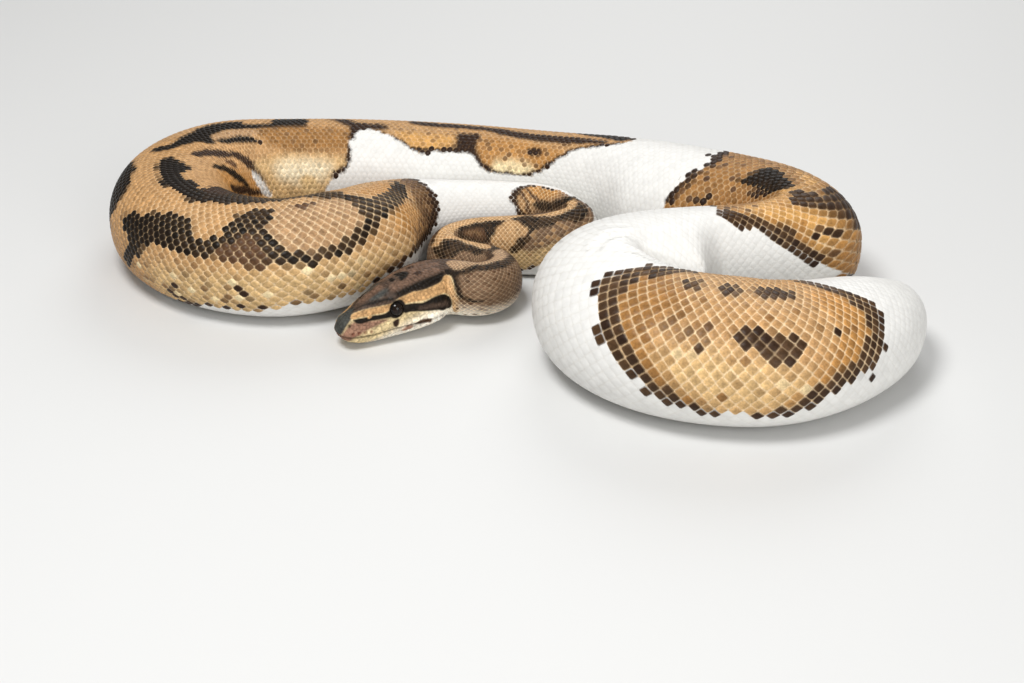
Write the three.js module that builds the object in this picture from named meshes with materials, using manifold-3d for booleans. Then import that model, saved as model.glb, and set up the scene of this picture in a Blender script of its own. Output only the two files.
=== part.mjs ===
// A life-size coiled ball python, resting on the floor. Millimetres, +Z up.
//
// The snake is one loft: rings stand square on a route that runs from the snout to
// the tip of the tail. The loft is parted by thin cuts into head, lower jaw, neck,
// body lengths and tail, and each piece is one closed solid.

import * as THREE from "three";
import { mergeVertices } from "three/addons/utils/BufferGeometryUtils.js";
import Module from "manifold-3d";

const wasm = await Module();
wasm.setup();

// ---------------------------------------------------------------- driving dimensions

const CUT = 0.3;                 // gap between pieces that meet
const TOUCH = 0.35;              // least gap between two lengths lying side by side
const KEEP = 0.98;               // share of the free width that a squeezed length takes
const SQUEEZE = 2.0;             // how softly a length narrows against its neighbour
const OPEN = 1000;               // free width where nothing lies beside

const SNOUT = { x: -75.5, y: -6.5 };
const HEAD_YAW = 34.9 * Math.PI / 180;      // the head's axis, from snout to nape
const CENTRE = { x: -4.5, y: 34.5 };        // middle of the coils' outline

const LEVEL = 0.485;             // height of a body ring's widest place, as a share
const FLAT_AT = 0.94;            // how far down the round section reaches its flat belly
const BACK_ROUND = 2.15;         // roundness of the back, 2 is an ellipse
const BELLY_ROUND = 2.5;         // roundness of the body's lower flank
const CHIN_ROUND = 2.0;          // roundness of the head's underside
const THROAT = { from: 50, to: 85 };        // where the chin's roundness turns into the belly's
const SNOUT_CAP = 4.5;           // length of the rounded snout
const SNOUT_MIDDLE = 8.8;        // height of the snout's foremost point
const TAIL_CAP = 5;              // length of the rounded tail tip
const TIP_INSET = 0.15;          // how far the end rings stand inside the caps

const RING_SIDES = 26;
const HEAD_SIDES = 36;
const PATH_STEP = 1;             // spacing of the route's samples
const PATH_SOFTNESS = 40;        // smoothing passes over the route's samples

// The head, from the snout back: distance, half width, top, widest level, underside.
const HEAD = [
  [0, 5.6, 13.2, 7.6, 5.2],
  [4, 6.4, 15.0, 7.2, 2.7],
  [9, 7.7, 17.5, 7.0, 0.4],
  [14, 8.8, 20.4, 7.2, 0],
  [19, 9.8, 22.8, 7.8, 0],
  [25, 11.3, 24.9, 8.5, 0],
  [32, 13.9, 26.3, 9.4, 0.7],
  [39, 16.3, 27.0, 10.6, 1.7],
  [45, 17.0, 27.2, 11.8, 2.4],
  [51, 14.9, 27.0, 13.2, 2.9],
];

// The body, from the nape to the tail: place, half width, height, gap to the floor.
const BODY = [
  { name: "nape", x: -28, y: 24, wide: 12.4, tall: 23.6, lift: 3.0 },
  { name: "neck_reach", x: -14, y: 21, wide: 11.2, tall: 23.7, lift: 3.0 },
  { name: "first_turn", x: -5, y: 32, wide: 10.8, tall: 22.5, lift: 2.4 },
  { name: "first_return", x: -10, y: 44, wide: 10.6, tall: 22.5, lift: 1.0 },
  { name: "second_reach", x: -22, y: 48, wide: 10.8, tall: 24.0, lift: 0 },
  { name: "second_turn", x: -31, y: 58, wide: 10.8, tall: 25.2, lift: 0 },
  { name: "second_return", x: -20, y: 68, wide: 11.0, tall: 25.6, lift: 0 },
  { name: "third_reach", x: -2, y: 68, wide: 12.0, tall: 26.8, lift: 0 },
  { name: "third_reach_end", x: 16, y: 68, wide: 13.4, tall: 28.3, lift: 0 },
  { name: "third_turn", x: 29, y: 75, wide: 14.8, tall: 29.9, lift: 0 },
  { name: "third_return", x: 19, y: 89, wide: 15.6, tall: 31.0, lift: 1 },
  { name: "shoulder", x: -8, y: 90, wide: 16.4, tall: 31.8, lift: 2 },
  { name: "shoulder_end", x: -29, y: 87, wide: 18.0, tall: 34.1, lift: 1 },
  { name: "swell", x: -47, y: 80, wide: 20.6, tall: 38.0, lift: 0.5 },
  { name: "swell_bend", x: -60, y: 67, wide: 24.2, tall: 43.1, lift: 0 },
  { name: "swell_end", x: -69, y: 53, wide: 26.6, tall: 46.2, lift: 0 },
  { name: "front_right", x: -84, y: 42, wide: 28.4, tall: 47.3, lift: 0 },
  { name: "front", x: -105, y: 36, wide: 29.0, tall: 47.3, lift: 0 },
  { name: "front_left", x: -134, y: 45, wide: 28.8, tall: 47.3, lift: 0 },
  { name: "left_near", x: -154, y: 69, wide: 29.0, tall: 47.3, lift: 0 },
  { name: "left_far", x: -155, y: 99, wide: 28.8, tall: 47.7, lift: 0 },
  { name: "back_left", x: -138, y: 121, wide: 28.0, tall: 47.3, lift: 0 },
  { name: "back_start", x: -106, y: 129, wide: 26.6, tall: 45.4, lift: 0 },
  { name: "back_first", x: -67, y: 131, wide: 26.0, tall: 44.2, lift: 0 },
  { name: "back_middle", x: -26, y: 127, wide: 26.0, tall: 43.8, lift: 0 },
  { name: "back_second", x: 18, y: 115, wide: 27.0, tall: 45.0, lift: 0 },
  { name: "back_third", x: 60, y: 97, wide: 30.0, tall: 49.3, lift: 0 },
  { name: "back_end", x: 93, y: 77, wide: 32.6, tall: 51.6, lift: 0 },
  { name: "right_far", x: 119, y: 59, wide: 33.2, tall: 52.0, lift: 0 },
  { name: "right_turn", x: 124, y: 43, wide: 33.0, tall: 52.0, lift: 0 },
  { name: "right_near", x: 111, y: 28, wide: 32.4, tall: 52.0, lift: 0 },
  { name: "inner_start", x: 88, y: 17, wide: 33.0, tall: 53.2, lift: 0 },
  { name: "inner", x: 64, y: 7, wide: 35.2, tall: 55.5, lift: 0 },
  { name: "last_turn_far", x: 46, y: -6, wide: 37.2, tall: 56.6, lift: 0 },
  { name: "last_turn_near", x: 47, y: -24, wide: 37.0, tall: 55.5, lift: 0 },
  { name: "outer_start", x: 61, y: -41, wide: 36.8, tall: 54.7, lift: 0 },
  { name: "outer", x: 83, y: -50, wide: 37.0, tall: 53.5, lift: 0 },
  { name: "outer_middle", x: 106, y: -51, wide: 35.8, tall: 51.6, lift: 0 },
  { name: "outer_end", x: 131, y: -40, wide: 31.2, tall: 47.7, lift: 0 },
  { name: "vent", x: 151, y: -21, wide: 24.6, tall: 42.3, lift: 0 },
  { name: "tail_bend", x: 157, y: -2, wide: 18.4, tall: 32.2, lift: 0 },
  { name: "tail_turn", x: 145, y: 10, wide: 11.8, tall: 21.0, lift: 0 },
  { name: "tail_end", x: 122, y: 9, wide: 6.9, tall: 12.4, lift: 0 },
  { name: "tip", x: 92, y: 5, wide: 2.2, tall: 4.4, lift: 0 },
];

// Pieces from the head back: the place where each ends, and its ring spacing.
const LENGTHS = [
  { node: "neck_1", to: "first_turn", spacing: 4.5 },
  { node: "neck_2", to: "second_turn", spacing: 4.5 },
  { node: "neck_3", to: "third_turn", spacing: 5 },
  { node: "body_1", to: "swell_bend", spacing: 6.5 },
  { node: "body_2", to: "front_left", spacing: 9 },
  { node: "body_3", to: "left_far", spacing: 9 },
  { node: "body_4", to: "back_first", spacing: 9 },
  { node: "body_5", to: "back_third", spacing: 10 },
  { node: "body_6", to: "right_turn", spacing: 9 },
  { node: "body_7", to: "inner", spacing: 9 },
  { node: "body_8", to: "last_turn_near", spacing: 9 },
  { node: "body_9", to: "outer_middle", spacing: 9 },
  { node: "body_10", to: "vent", spacing: 9 },
  { node: "tail", to: "tip", spacing: 7 },
];

const MOUTH = [[-3, 7.2], [6, 6.4], [14, 6.2], [22, 7.2], [32, 8.4], [42, 9.2]];
const MOUTH_CORNER = 46;

const EYE = { from_snout: 24.5, height: 16.4, radius: 3.6, sunk: 2.3, sides: 18 };
const NOSTRIL = { from_snout: 3.6, height: 12.2, radius: 0.9, sides: 10 };
const LIP_PITS = { first: 4.2, spacing: 2.6, count: 3, above_mouth: 1.9, radius: 0.65, sides: 8 };
const PIT_SUNK = 0.1;            // depth of a pit's middle under the skin

const COLOURS = {
  head: 0x4a3a30,
  lower_jaw: 0xd9cba8,
  eye: 0x0b0b0c,
  neck: 0x7a5a3c,
  tan: 0xb98f5e,
  white: 0xe9e6e0,
};

const WHITE_NODES = ["body_7", "body_8", "body_10", "tail"];

// ---------------------------------------------------------------- the route

/** Rows of the loft from snout to tail: x, y, half width, top, widest level, underside. */
function loftRows() {
  const along = { x: Math.cos(HEAD_YAW), y: Math.sin(HEAD_YAW) };
  const head = HEAD.map(([s, wide, top, level, under]) =>
    [SNOUT.x + along.x * s, SNOUT.y + along.y * s, wide, top, level, under]);
  const body = BODY.map((p) =>
    [p.x, p.y, p.wide, p.lift + p.tall, p.lift + LEVEL * p.tall, p.lift]);
  return [...head, ...body].map(([x, y, ...rest]) => [x - CENTRE.x, y - CENTRE.y, ...rest]);
}

const mix = (a, b, t) => a.map((v, k) => v + (b[k] - v) * t);

/** Centripetal Catmull-Rom through rows, with knots spaced by the distance in plan. */
function splineThrough(rows, perSpan = 24) {
  const first = mix(rows[1], rows[0], 2);
  const last = mix(rows[rows.length - 2], rows[rows.length - 1], 2);
  const p = [first, ...rows, last];
  const out = [];
  for (let i = 1; i < p.length - 2; i += 1) {
    const knots = [0];
    for (let j = 0; j < 3; j += 1) {
      const [a, b] = [p[i - 1 + j], p[i + j]];
      knots.push(knots[j] + Math.sqrt(Math.hypot(b[0] - a[0], b[1] - a[1])));
    }
    const blend = (a, b, from, to, t) => mix(a, b, (t - knots[from]) / (knots[to] - knots[from]));
    for (let k = 0; k < perSpan; k += 1) {
      const t = knots[1] + (knots[2] - knots[1]) * k / perSpan;
      const a1 = blend(p[i - 1], p[i], 0, 1, t);
      const a2 = blend(p[i], p[i + 1], 1, 2, t);
      const a3 = blend(p[i + 1], p[i + 2], 2, 3, t);
      const b1 = blend(a1, a2, 0, 2, t);
      const b2 = blend(a2, a3, 1, 3, t);
      out.push(blend(b1, b2, 1, 2, t));
    }
  }
  out.push(rows[rows.length - 1]);
  return out;
}

/** Samples of rows at an even spacing in plan. */
function resample(rows, step) {
  const at = [0];
  for (let i = 1; i < rows.length; i += 1) {
    at.push(at[i - 1] + Math.hypot(rows[i][0] - rows[i - 1][0], rows[i][1] - rows[i - 1][1]));
  }
  const total = at[at.length - 1];
  const count = Math.round(total / step);
  const out = [];
  let i = 0;
  for (let k = 0; k <= count; k += 1) {
    const s = total * k / count;
    while (i < rows.length - 2 && at[i + 1] < s) {
      i += 1;
    }
    out.push(mix(rows[i], rows[i + 1], (s - at[i]) / (at[i + 1] - at[i])));
  }
  return { rows: out, step: total / count, length: total };
}

/** Rows softened by passes of a short average, with both ends held. */
function soften(rows, passes) {
  let now = rows;
  for (let n = 0; n < passes; n += 1) {
    now = now.map((row, i) => {
      if (i === 0 || i === now.length - 1) {
        return row;
      }
      return row.map((v, k) => (now[i - 1][k] + 2 * v + now[i + 1][k]) / 4);
    });
  }
  return now;
}

const coarse = resample(splineThrough(loftRows()), PATH_STEP);
const route = resample(soften(coarse.rows, PATH_SOFTNESS), PATH_STEP);

/** Sideways unit vectors, to the left of the way from snout to tail. */
const sideways = route.rows.map((row, i) => {
  const a = route.rows[Math.max(i - 1, 0)];
  const b = route.rows[Math.min(i + 1, route.rows.length - 1)];
  const size = Math.hypot(b[0] - a[0], b[1] - a[1]);
  return [-(b[1] - a[1]) / size, (b[0] - a[0]) / size];
});

/** Free width beside each sample, up to the line it shares with the nearest other length. */
function freeWidths(side) {
  return route.rows.map((here, i) => {
    let least = OPEN;
    for (const other of route.rows) {
      const dx = other[0] - here[0];
      const dy = other[1] - here[1];
      const across = side * (dx * sideways[i][0] + dy * sideways[i][1]);
      if (across > 1e-6) {
        const share = here[2] / (here[2] + other[2]);
        least = Math.min(least, share * (dx * dx + dy * dy) / across);
      }
    }
    return least;
  });
}

/** The lesser of two lengths, rounded where they are nearly equal. */
function softLesser(a, b, soft) {
  const t = THREE.MathUtils.clamp(0.5 + 0.5 * (b - a) / soft, 0, 1);
  return a * t + b * (1 - t) - soft * t * (1 - t);
}

/** Half widths on one side, narrowed where another length lies close by. */
function halfWidths(side) {
  const free = freeWidths(side).map((w) => KEEP * w - TOUCH / 2);
  let now = route.rows.map((row, i) => softLesser(row[2], free[i], SQUEEZE));
  for (let n = 0; n < PATH_SOFTNESS / 2; n += 1) {
    const eased = now.map((w, i) =>
      (now[Math.max(i - 1, 0)] + 2 * w + now[Math.min(i + 1, now.length - 1)]) / 4);
    now = now.map((w, i) => Math.min(w, eased[i]));
  }
  return now;
}

const leftWidths = halfWidths(1);
const rightWidths = halfWidths(-1);

/** The loft's measures at a distance from the snout. */
function measuresAt(s) {
  const f = THREE.MathUtils.clamp(s / route.step, 0, route.rows.length - 1.000001);
  const i = Math.floor(f);
  const t = f - i;
  const [x, y, , top, level, rise] = mix(route.rows[i], route.rows[i + 1], t);
  const [nx, ny] = mix(sideways[i], sideways[i + 1], t);
  const size = Math.hypot(nx, ny);
  const [left, right] = mix([leftWidths[i], rightWidths[i]], [leftWidths[i + 1], rightWidths[i + 1]], t);
  const under = Math.max(rise, 0);
  return { x, y, nx: nx / size, ny: ny / size, left, right, top, level, under };
}

/** Distance from the snout to a named place on the body. */
function distanceTo(name) {
  const place = BODY.find((p) => p.name === name);
  let best = 0;
  let least = Infinity;
  route.rows.forEach((row, i) => {
    const d = Math.hypot(row[0] + CENTRE.x - place.x, row[1] + CENTRE.y - place.y);
    if (d < least) {
      least = d;
      best = i;
    }
  });
  return best * route.step;
}

// ---------------------------------------------------------------- rings and solids

/** How much of its full size a ring has: less only in the rounded snout and tail tip. */
function fullness(s) {
  const capped = (d, cap) => (d >= cap ? 1 : Math.sqrt(Math.max(0, 1 - (1 - d / cap) ** 2)));
  return capped(s, SNOUT_CAP) * capped(route.length - s, TAIL_CAP);
}

/** A point of the skin: angle 0 is the left flank, a quarter turn is the back. */
function skinPoint(s, angle) {
  const m = measuresAt(s);
  const full = fullness(s);
  const c = Math.cos(angle);
  const n = Math.sin(angle);
  const throat = THREE.MathUtils.smoothstep(s, THROAT.from, THROAT.to);
  const lower = CHIN_ROUND + (BELLY_ROUND - CHIN_ROUND) * throat;
  const round = 2 / (n >= 0 ? BACK_ROUND : lower);
  const across = Math.sign(c) * Math.abs(c) ** round * (c >= 0 ? m.left : m.right) * full;
  const up = n >= 0 ? m.top - m.level : (m.level - m.under) / FLAT_AT;
  const z = Math.max(m.level + Math.sign(n) * Math.abs(n) ** round * up, m.under);
  const middle = s < SNOUT_CAP ? SNOUT_MIDDLE : m.level;
  return [m.x + m.nx * across, m.y + m.ny * across, middle + (z - middle) * full];
}

/** One closed solid lofted through rings at the given distances from the snout. */
function loft(stations, sides) {
  const points = [];
  const faces = [];
  for (const s of stations) {
    for (let k = 0; k < sides; k += 1) {
      points.push(skinPoint(s, 2 * Math.PI * (k + 0.5) / sides));
    }
  }
  for (let i = 0; i < stations.length - 1; i += 1) {
    for (let k = 0; k < sides; k += 1) {
      const a = i * sides + k;
      const b = i * sides + (k + 1) % sides;
      faces.push([a, b + sides, a + sides], [a, b, b + sides]);
    }
  }
  const capMiddle = (s, first, flip) => {
    const m = measuresAt(s);
    points.push([m.x, m.y, s < SNOUT_CAP ? SNOUT_MIDDLE : m.level]);
    const hub = points.length - 1;
    for (let k = 0; k < sides; k += 1) {
      const a = first + k;
      const b = first + (k + 1) % sides;
      faces.push(flip ? [hub, b, a] : [hub, a, b]);
    }
  };
  capMiddle(stations[0], 0, true);
  capMiddle(stations[stations.length - 1], (stations.length - 1) * sides, false);
  return { points, faces };
}

function toGeometry({ points, faces }) {
  const geometry = new THREE.BufferGeometry();
  geometry.setAttribute("position", new THREE.Float32BufferAttribute(points.flat(), 3));
  geometry.setIndex(faces.flat());
  return geometry;
}

function toManifold(geometry) {
  const bare = geometry.clone();
  bare.deleteAttribute("normal");
  bare.deleteAttribute("uv");
  const merged = mergeVertices(bare, 1e-4);
  return new wasm.Manifold(new wasm.Mesh({
    numProp: 3,
    vertProperties: Float32Array.from(merged.attributes.position.array),
    triVerts: Uint32Array.from(merged.index.array),
  }));
}

/** The largest closed surface of a solid, as a geometry. */
function largestOf(solid) {
  const parts = solid.decompose();
  const size = (part) => part.getMesh().triVerts.length;
  const keep = parts.reduce((a, b) => (size(b) > size(a) ? b : a));
  const mesh = keep.getMesh();
  const geometry = new THREE.BufferGeometry();
  geometry.setAttribute("position", new THREE.Float32BufferAttribute(mesh.vertProperties, 3));
  geometry.setIndex([...mesh.triVerts]);
  return geometry;
}

/** Distances from one place to another, about a spacing apart on the outside of each bend. */
function stationsBetween(from, to, spacing) {
  const fine = 0.5;
  const steps = Math.ceil((to - from) / fine);
  const run = [0];
  for (let k = 1; k <= steps; k += 1) {
    const a = measuresAt(from + (to - from) * (k - 1) / steps);
    const b = measuresAt(from + (to - from) * k / steps);
    const flank = (m, side, wide) => [m.x + side * m.nx * wide, m.y + side * m.ny * wide];
    const gap = (p, q) => Math.hypot(q[0] - p[0], q[1] - p[1]);
    const left = gap(flank(a, 1, a.left), flank(b, 1, b.left));
    const right = gap(flank(a, -1, a.right), flank(b, -1, b.right));
    run.push(run[k - 1] + Math.max(left, right));
  }
  const count = Math.max(1, Math.round(run[steps] / spacing));
  return Array.from({ length: count + 1 }, (_, k) => {
    const target = run[steps] * k / count;
    const at = k === count ? steps : run.findIndex((v, i) => run[i + 1] >= target);
    const part = k === count ? 0 : (target - run[at]) / (run[at + 1] - run[at]);
    return from + (to - from) * (at + part) / steps;
  });
}

// ---------------------------------------------------------------- head, jaw and eyes

const NAPE = distanceTo("nape");
const headAxis = new THREE.Vector3(Math.cos(HEAD_YAW), Math.sin(HEAD_YAW), 0);

/** A point on the skin of the head at a distance and height, with its outward normal. */
function headPlace(s, height, side) {
  const halvings = 30;
  const turn = 0.05;
  const reach = 0.5;
  let low = 0;
  let high = Math.PI / 2;
  for (let n = 0; n < halvings; n += 1) {
    const middle = (low + high) / 2;
    if (skinPoint(s, middle)[2] < height) {
      low = middle;
    } else {
      high = middle;
    }
  }
  const angle = side > 0 ? low : Math.PI - low;
  const at = new THREE.Vector3(...skinPoint(s, angle));
  const around = new THREE.Vector3(...skinPoint(s, angle + turn)).sub(at);
  const onward = new THREE.Vector3(...skinPoint(s + reach, angle)).sub(at);
  const normal = new THREE.Vector3().crossVectors(around, onward).normalize();
  return { at, normal };
}

/** A sphere whose middle lies a depth under the skin at a place on the head. */
function headBall(place, depth, radius, segments) {
  const ball = new THREE.SphereGeometry(radius, segments, Math.round(segments / 2) + 1);
  const middle = place.at.clone().addScaledVector(place.normal, -depth);
  return ball.translate(middle.x, middle.y, middle.z);
}

/** Everything under the mouth's line, grown by a margin, as a prism across the head. */
function underMouth(margin) {
  const below = -6;
  const reach = 30;
  const rise = 1;
  const outline = new THREE.Shape();
  outline.moveTo(MOUTH[0][0], below);
  MOUTH.forEach(([s, z]) => outline.lineTo(s, z + margin));
  outline.lineTo(MOUTH_CORNER + margin, MOUTH[MOUTH.length - 1][1] + rise + margin);
  outline.lineTo(MOUTH_CORNER + margin, below);
  outline.closePath();
  const prism = new THREE.ExtrudeGeometry(outline, { depth: 2 * reach, bevelEnabled: false });
  prism.translate(0, 0, -reach);
  prism.rotateX(Math.PI / 2);
  prism.rotateZ(HEAD_YAW);
  return prism.translate(SNOUT.x - CENTRE.x, SNOUT.y - CENTRE.y, 0);
}

function headStations() {
  const spacing = 3;
  const cap = [0.13, 0.3, 0.6].map((share) => share * SNOUT_CAP);
  return [TIP_INSET, ...cap, ...stationsBetween(SNOUT_CAP, NAPE - CUT / 2, spacing)];
}

function makeHead() {
  const whole = toManifold(toGeometry(loft(headStations(), HEAD_SIDES)));
  const jaw = whole.intersect(toManifold(underMouth(0)));
  let skull = whole.subtract(toManifold(underMouth(CUT)));
  const eyes = [];
  for (const side of [1, -1]) {
    const eye = headPlace(EYE.from_snout, EYE.height, side);
    eyes.push(headBall(eye, EYE.sunk, EYE.radius, EYE.sides));
    skull = skull.subtract(toManifold(headBall(eye, EYE.sunk, EYE.radius + CUT, EYE.sides)));
    const nostril = headPlace(NOSTRIL.from_snout, NOSTRIL.height, side);
    skull = skull.subtract(toManifold(headBall(nostril, PIT_SUNK, NOSTRIL.radius, NOSTRIL.sides)));
    for (let n = 0; n < LIP_PITS.count; n += 1) {
      const s = LIP_PITS.first + n * LIP_PITS.spacing;
      const pit = headPlace(s, MOUTH[1][1] + LIP_PITS.above_mouth, side);
      skull = skull.subtract(toManifold(headBall(pit, PIT_SUNK, LIP_PITS.radius, LIP_PITS.sides)));
    }
  }
  return { skull: largestOf(skull), jaw: largestOf(jaw), eyes };
}

// ---------------------------------------------------------------- the model

const python = new THREE.Group();

function addMesh(name, geometry, colour, roughness = 0.5) {
  const material = new THREE.MeshStandardMaterial({ color: colour, roughness, metalness: 0 });
  const mesh = new THREE.Mesh(geometry, material);
  mesh.name = name;
  python.add(mesh);
}

const { skull, jaw, eyes } = makeHead();
addMesh("head", skull, COLOURS.head);
addMesh("lower_jaw", jaw, COLOURS.lower_jaw);
addMesh("eye_far", eyes[0], COLOURS.eye, 0.08);
addMesh("eye_near", eyes[1], COLOURS.eye, 0.08);

let start = NAPE;
for (const { node, to, spacing } of LENGTHS) {
  const end = to === "tip" ? route.length : distanceTo(to);
  const last = to === "tip" ? end - TIP_INSET : end - CUT / 2;
  const solid = loft(stationsBetween(start + CUT / 2, last, spacing), RING_SIDES);
  const neckColour = node.startsWith("neck") ? COLOURS.neck : COLOURS.tan;
  const colour = WHITE_NODES.includes(node) ? COLOURS.white : neckColour;
  addMesh(node, toGeometry(solid), colour);
  start = end;
}

export default python;
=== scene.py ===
"""A life-size piebald ball python, lying in loose coils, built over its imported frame.

The skin is one closed loft along the snake's route, with the head's plates pressed into it.
Small scales and belly shields lie over it, and everything takes its colour from one set of
named markings, placed by the distance from the snout and the distance round from the middle
of the back. Lengths are in mm unless a comment says otherwise.
"""

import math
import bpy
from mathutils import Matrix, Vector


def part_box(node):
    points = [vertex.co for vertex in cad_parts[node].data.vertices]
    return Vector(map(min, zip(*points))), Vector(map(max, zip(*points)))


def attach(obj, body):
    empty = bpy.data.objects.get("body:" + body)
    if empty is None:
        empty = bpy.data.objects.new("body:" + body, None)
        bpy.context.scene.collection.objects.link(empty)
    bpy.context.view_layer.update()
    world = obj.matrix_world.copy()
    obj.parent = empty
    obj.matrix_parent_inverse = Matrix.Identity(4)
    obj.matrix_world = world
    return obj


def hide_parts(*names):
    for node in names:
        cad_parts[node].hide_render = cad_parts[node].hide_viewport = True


bl_info = {
    "name": "Coiled Ball Python",
    "version": (1, 0, 0),
    "blender": (4, 5, 0),
    "location": "3D View > Sidebar > Python",
    "description": "Skin, scales, belly shields, head plates and eyes of a coiled ball python",
    "category": "Object",
}

import bpy
import numpy as np

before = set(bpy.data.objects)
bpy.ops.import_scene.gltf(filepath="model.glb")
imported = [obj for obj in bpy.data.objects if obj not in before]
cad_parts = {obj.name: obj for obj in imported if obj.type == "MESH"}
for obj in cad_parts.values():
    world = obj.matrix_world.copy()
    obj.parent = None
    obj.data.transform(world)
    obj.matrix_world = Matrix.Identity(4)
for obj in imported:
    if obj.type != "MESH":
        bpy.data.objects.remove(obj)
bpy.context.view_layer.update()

MM = 0.001
SEED = 57

# ------------------------------------------------------------ the snake's measures, mm

TOUCH = 0.35  # least gap between two lengths lying side by side
KEEP = 0.98  # share of the free width that a squeezed length takes
SQUEEZE = 2.0  # how softly a length narrows against its neighbour
OPEN = 1000.0  # free width where nothing lies beside

SNOUT = (-75.5, -6.5)  # place of the snout's tip in plan
HEAD_YAW = math.radians(34.9)
CENTRE = (-4.5, 34.5)  # middle of the coils' outline

LEVEL = 0.485  # height of a body ring's widest place, as a share
FLAT_AT = 0.94  # how far down the round section reaches its flat belly
BACK_ROUND = 2.15  # roundness of the section above its widest place: 2 is an ellipse
BELLY_ROUND = 2.5  # and below it, on the body
CHIN_ROUND = 2.0  # and below it, on the head
THROAT = (50.0, 85.0)  # where the chin's roundness turns into the belly's
SNOUT_CAP = 4.5  # length of the snout's rounded end
SNOUT_MIDDLE = 8.8  # height of its foremost point
TAIL_CAP = 5.0  # length of the tail's rounded end
PATH_SOFTNESS = 40  # passes that even out the route

# The head, from the snout back: distance, half width, top, widest level, underside.
HEAD = (
    (0, 5.6, 13.2, 7.6, 5.2),
    (4, 6.4, 15.0, 7.2, 2.7),
    (9, 7.7, 17.5, 7.0, 0.4),
    (14, 8.8, 20.4, 7.2, 0),
    (19, 9.8, 22.8, 7.8, 0),
    (25, 11.3, 24.9, 8.5, 0),
    (32, 13.9, 26.3, 9.4, 0.7),
    (39, 16.3, 27.0, 10.6, 1.7),
    (45, 17.0, 27.2, 11.8, 2.4),
    (51, 14.9, 27.0, 13.2, 2.9),
)

# The body, from the nape to the tail: place in plan, half width, height, gap to the floor.
BODY = (
    (-28, 24, 12.4, 23.6, 3.0),  # nape
    (-14, 21, 11.2, 23.7, 3.0),
    (-5, 32, 10.8, 22.5, 2.4),  # first turn of the neck
    (-10, 44, 10.6, 22.5, 1.0),
    (-22, 48, 10.8, 24.0, 0),
    (-31, 58, 10.8, 25.2, 0),  # second turn
    (-20, 68, 11.0, 25.6, 0),
    (-2, 68, 12.0, 26.8, 0),
    (16, 68, 13.4, 28.3, 0),
    (29, 75, 14.8, 29.9, 0),  # third turn
    (19, 89, 15.6, 31.0, 1),
    (-8, 90, 16.4, 31.8, 2),  # shoulder
    (-29, 87, 18.0, 34.1, 1),
    (-47, 80, 20.6, 38.0, 0.5),
    (-60, 67, 24.2, 43.1, 0),
    (-69, 53, 26.6, 46.2, 0),
    (-84, 42, 28.4, 47.3, 0),
    (-105, 36, 29.0, 47.3, 0),  # front of the left coil
    (-134, 45, 28.8, 47.3, 0),
    (-154, 69, 29.0, 47.3, 0),
    (-155, 99, 28.8, 47.7, 0),
    (-138, 121, 28.0, 47.3, 0),
    (-106, 129, 26.6, 45.4, 0),  # the long length behind
    (-67, 131, 26.0, 44.2, 0),
    (-26, 127, 26.0, 43.8, 0),
    (18, 115, 27.0, 45.0, 0),
    (60, 97, 30.0, 49.3, 0),
    (93, 77, 32.6, 51.6, 0),
    (119, 59, 33.2, 52.0, 0),
    (124, 43, 33.0, 52.0, 0),  # turn at the right end
    (111, 28, 32.4, 52.0, 0),
    (88, 17, 33.0, 53.2, 0),
    (64, 7, 35.2, 55.5, 0),  # inner length of the right coil
    (46, -6, 37.2, 56.6, 0),
    (47, -24, 37.0, 55.5, 0),  # last turn
    (61, -41, 36.8, 54.7, 0),
    (83, -50, 37.0, 53.5, 0),
    (106, -51, 35.8, 51.6, 0),  # outer length of the right coil
    (131, -40, 31.2, 47.7, 0),
    (151, -21, 24.6, 42.3, 0),  # vent
    (157, -2, 18.4, 32.2, 0),
    (145, 10, 11.8, 21.0, 0),
    (122, 9, 6.9, 12.4, 0),
    (92, 5, 2.2, 4.4, 0),  # tip of the tail
)

# The mouth's line: distance from the snout, height over the floor.
MOUTH = ((-3, 7.2), (6, 6.4), (14, 6.2), (22, 7.2), (32, 8.4), (42, 9.2), (48, 9.8))
MOUTH_CORNER = (43.0, 48.0)  # the mouth's line fades out between these
EYE = {"radius": 3.6, "sunk": 2.3}   # an eye's radius, and how far its middle lies under the skin


# ------------------------------------------------------------ the route and its surface

def loft_rows():
    """Rows of the loft from snout to tail: x, y, half width, top, widest level, underside."""
    rows = []
    for s, wide, top, level, under in HEAD:
        x = SNOUT[0] + math.cos(HEAD_YAW) * s
        y = SNOUT[1] + math.sin(HEAD_YAW) * s
        rows.append((x, y, wide, top, level, under))
    for x, y, wide, tall, lift in BODY:
        rows.append((x, y, wide, lift + tall, lift + LEVEL * tall, lift))
    rows = np.array(rows, float)
    rows[:, :2] -= CENTRE
    return rows


def spline_through(rows, per_span=24):
    """Centripetal Catmull-Rom through rows, with knots spaced by the distance in plan."""
    ends = np.vstack([2 * rows[0] - rows[1], rows, 2 * rows[-1] - rows[-2]])
    out = []
    for a, b, c, d in zip(ends, ends[1:], ends[2:], ends[3:]):
        gaps = [math.sqrt(math.hypot(*(q - p)[:2])) for p, q in ((a, b), (b, c), (c, d))]
        knot = np.concatenate([[0], np.cumsum(gaps)])
        t = (knot[1] + gaps[1] * np.arange(per_span) / per_span)[:, None]

        def blend(p, q, i, j):
            return p + (q - p) * (t - knot[i]) / (knot[j] - knot[i])

        first = blend(blend(a, b, 0, 1), blend(b, c, 1, 2), 0, 2)
        second = blend(blend(b, c, 1, 2), blend(c, d, 2, 3), 1, 3)
        out.append(blend(first, second, 1, 2))
    return np.vstack(out + [rows[-1:]])


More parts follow.
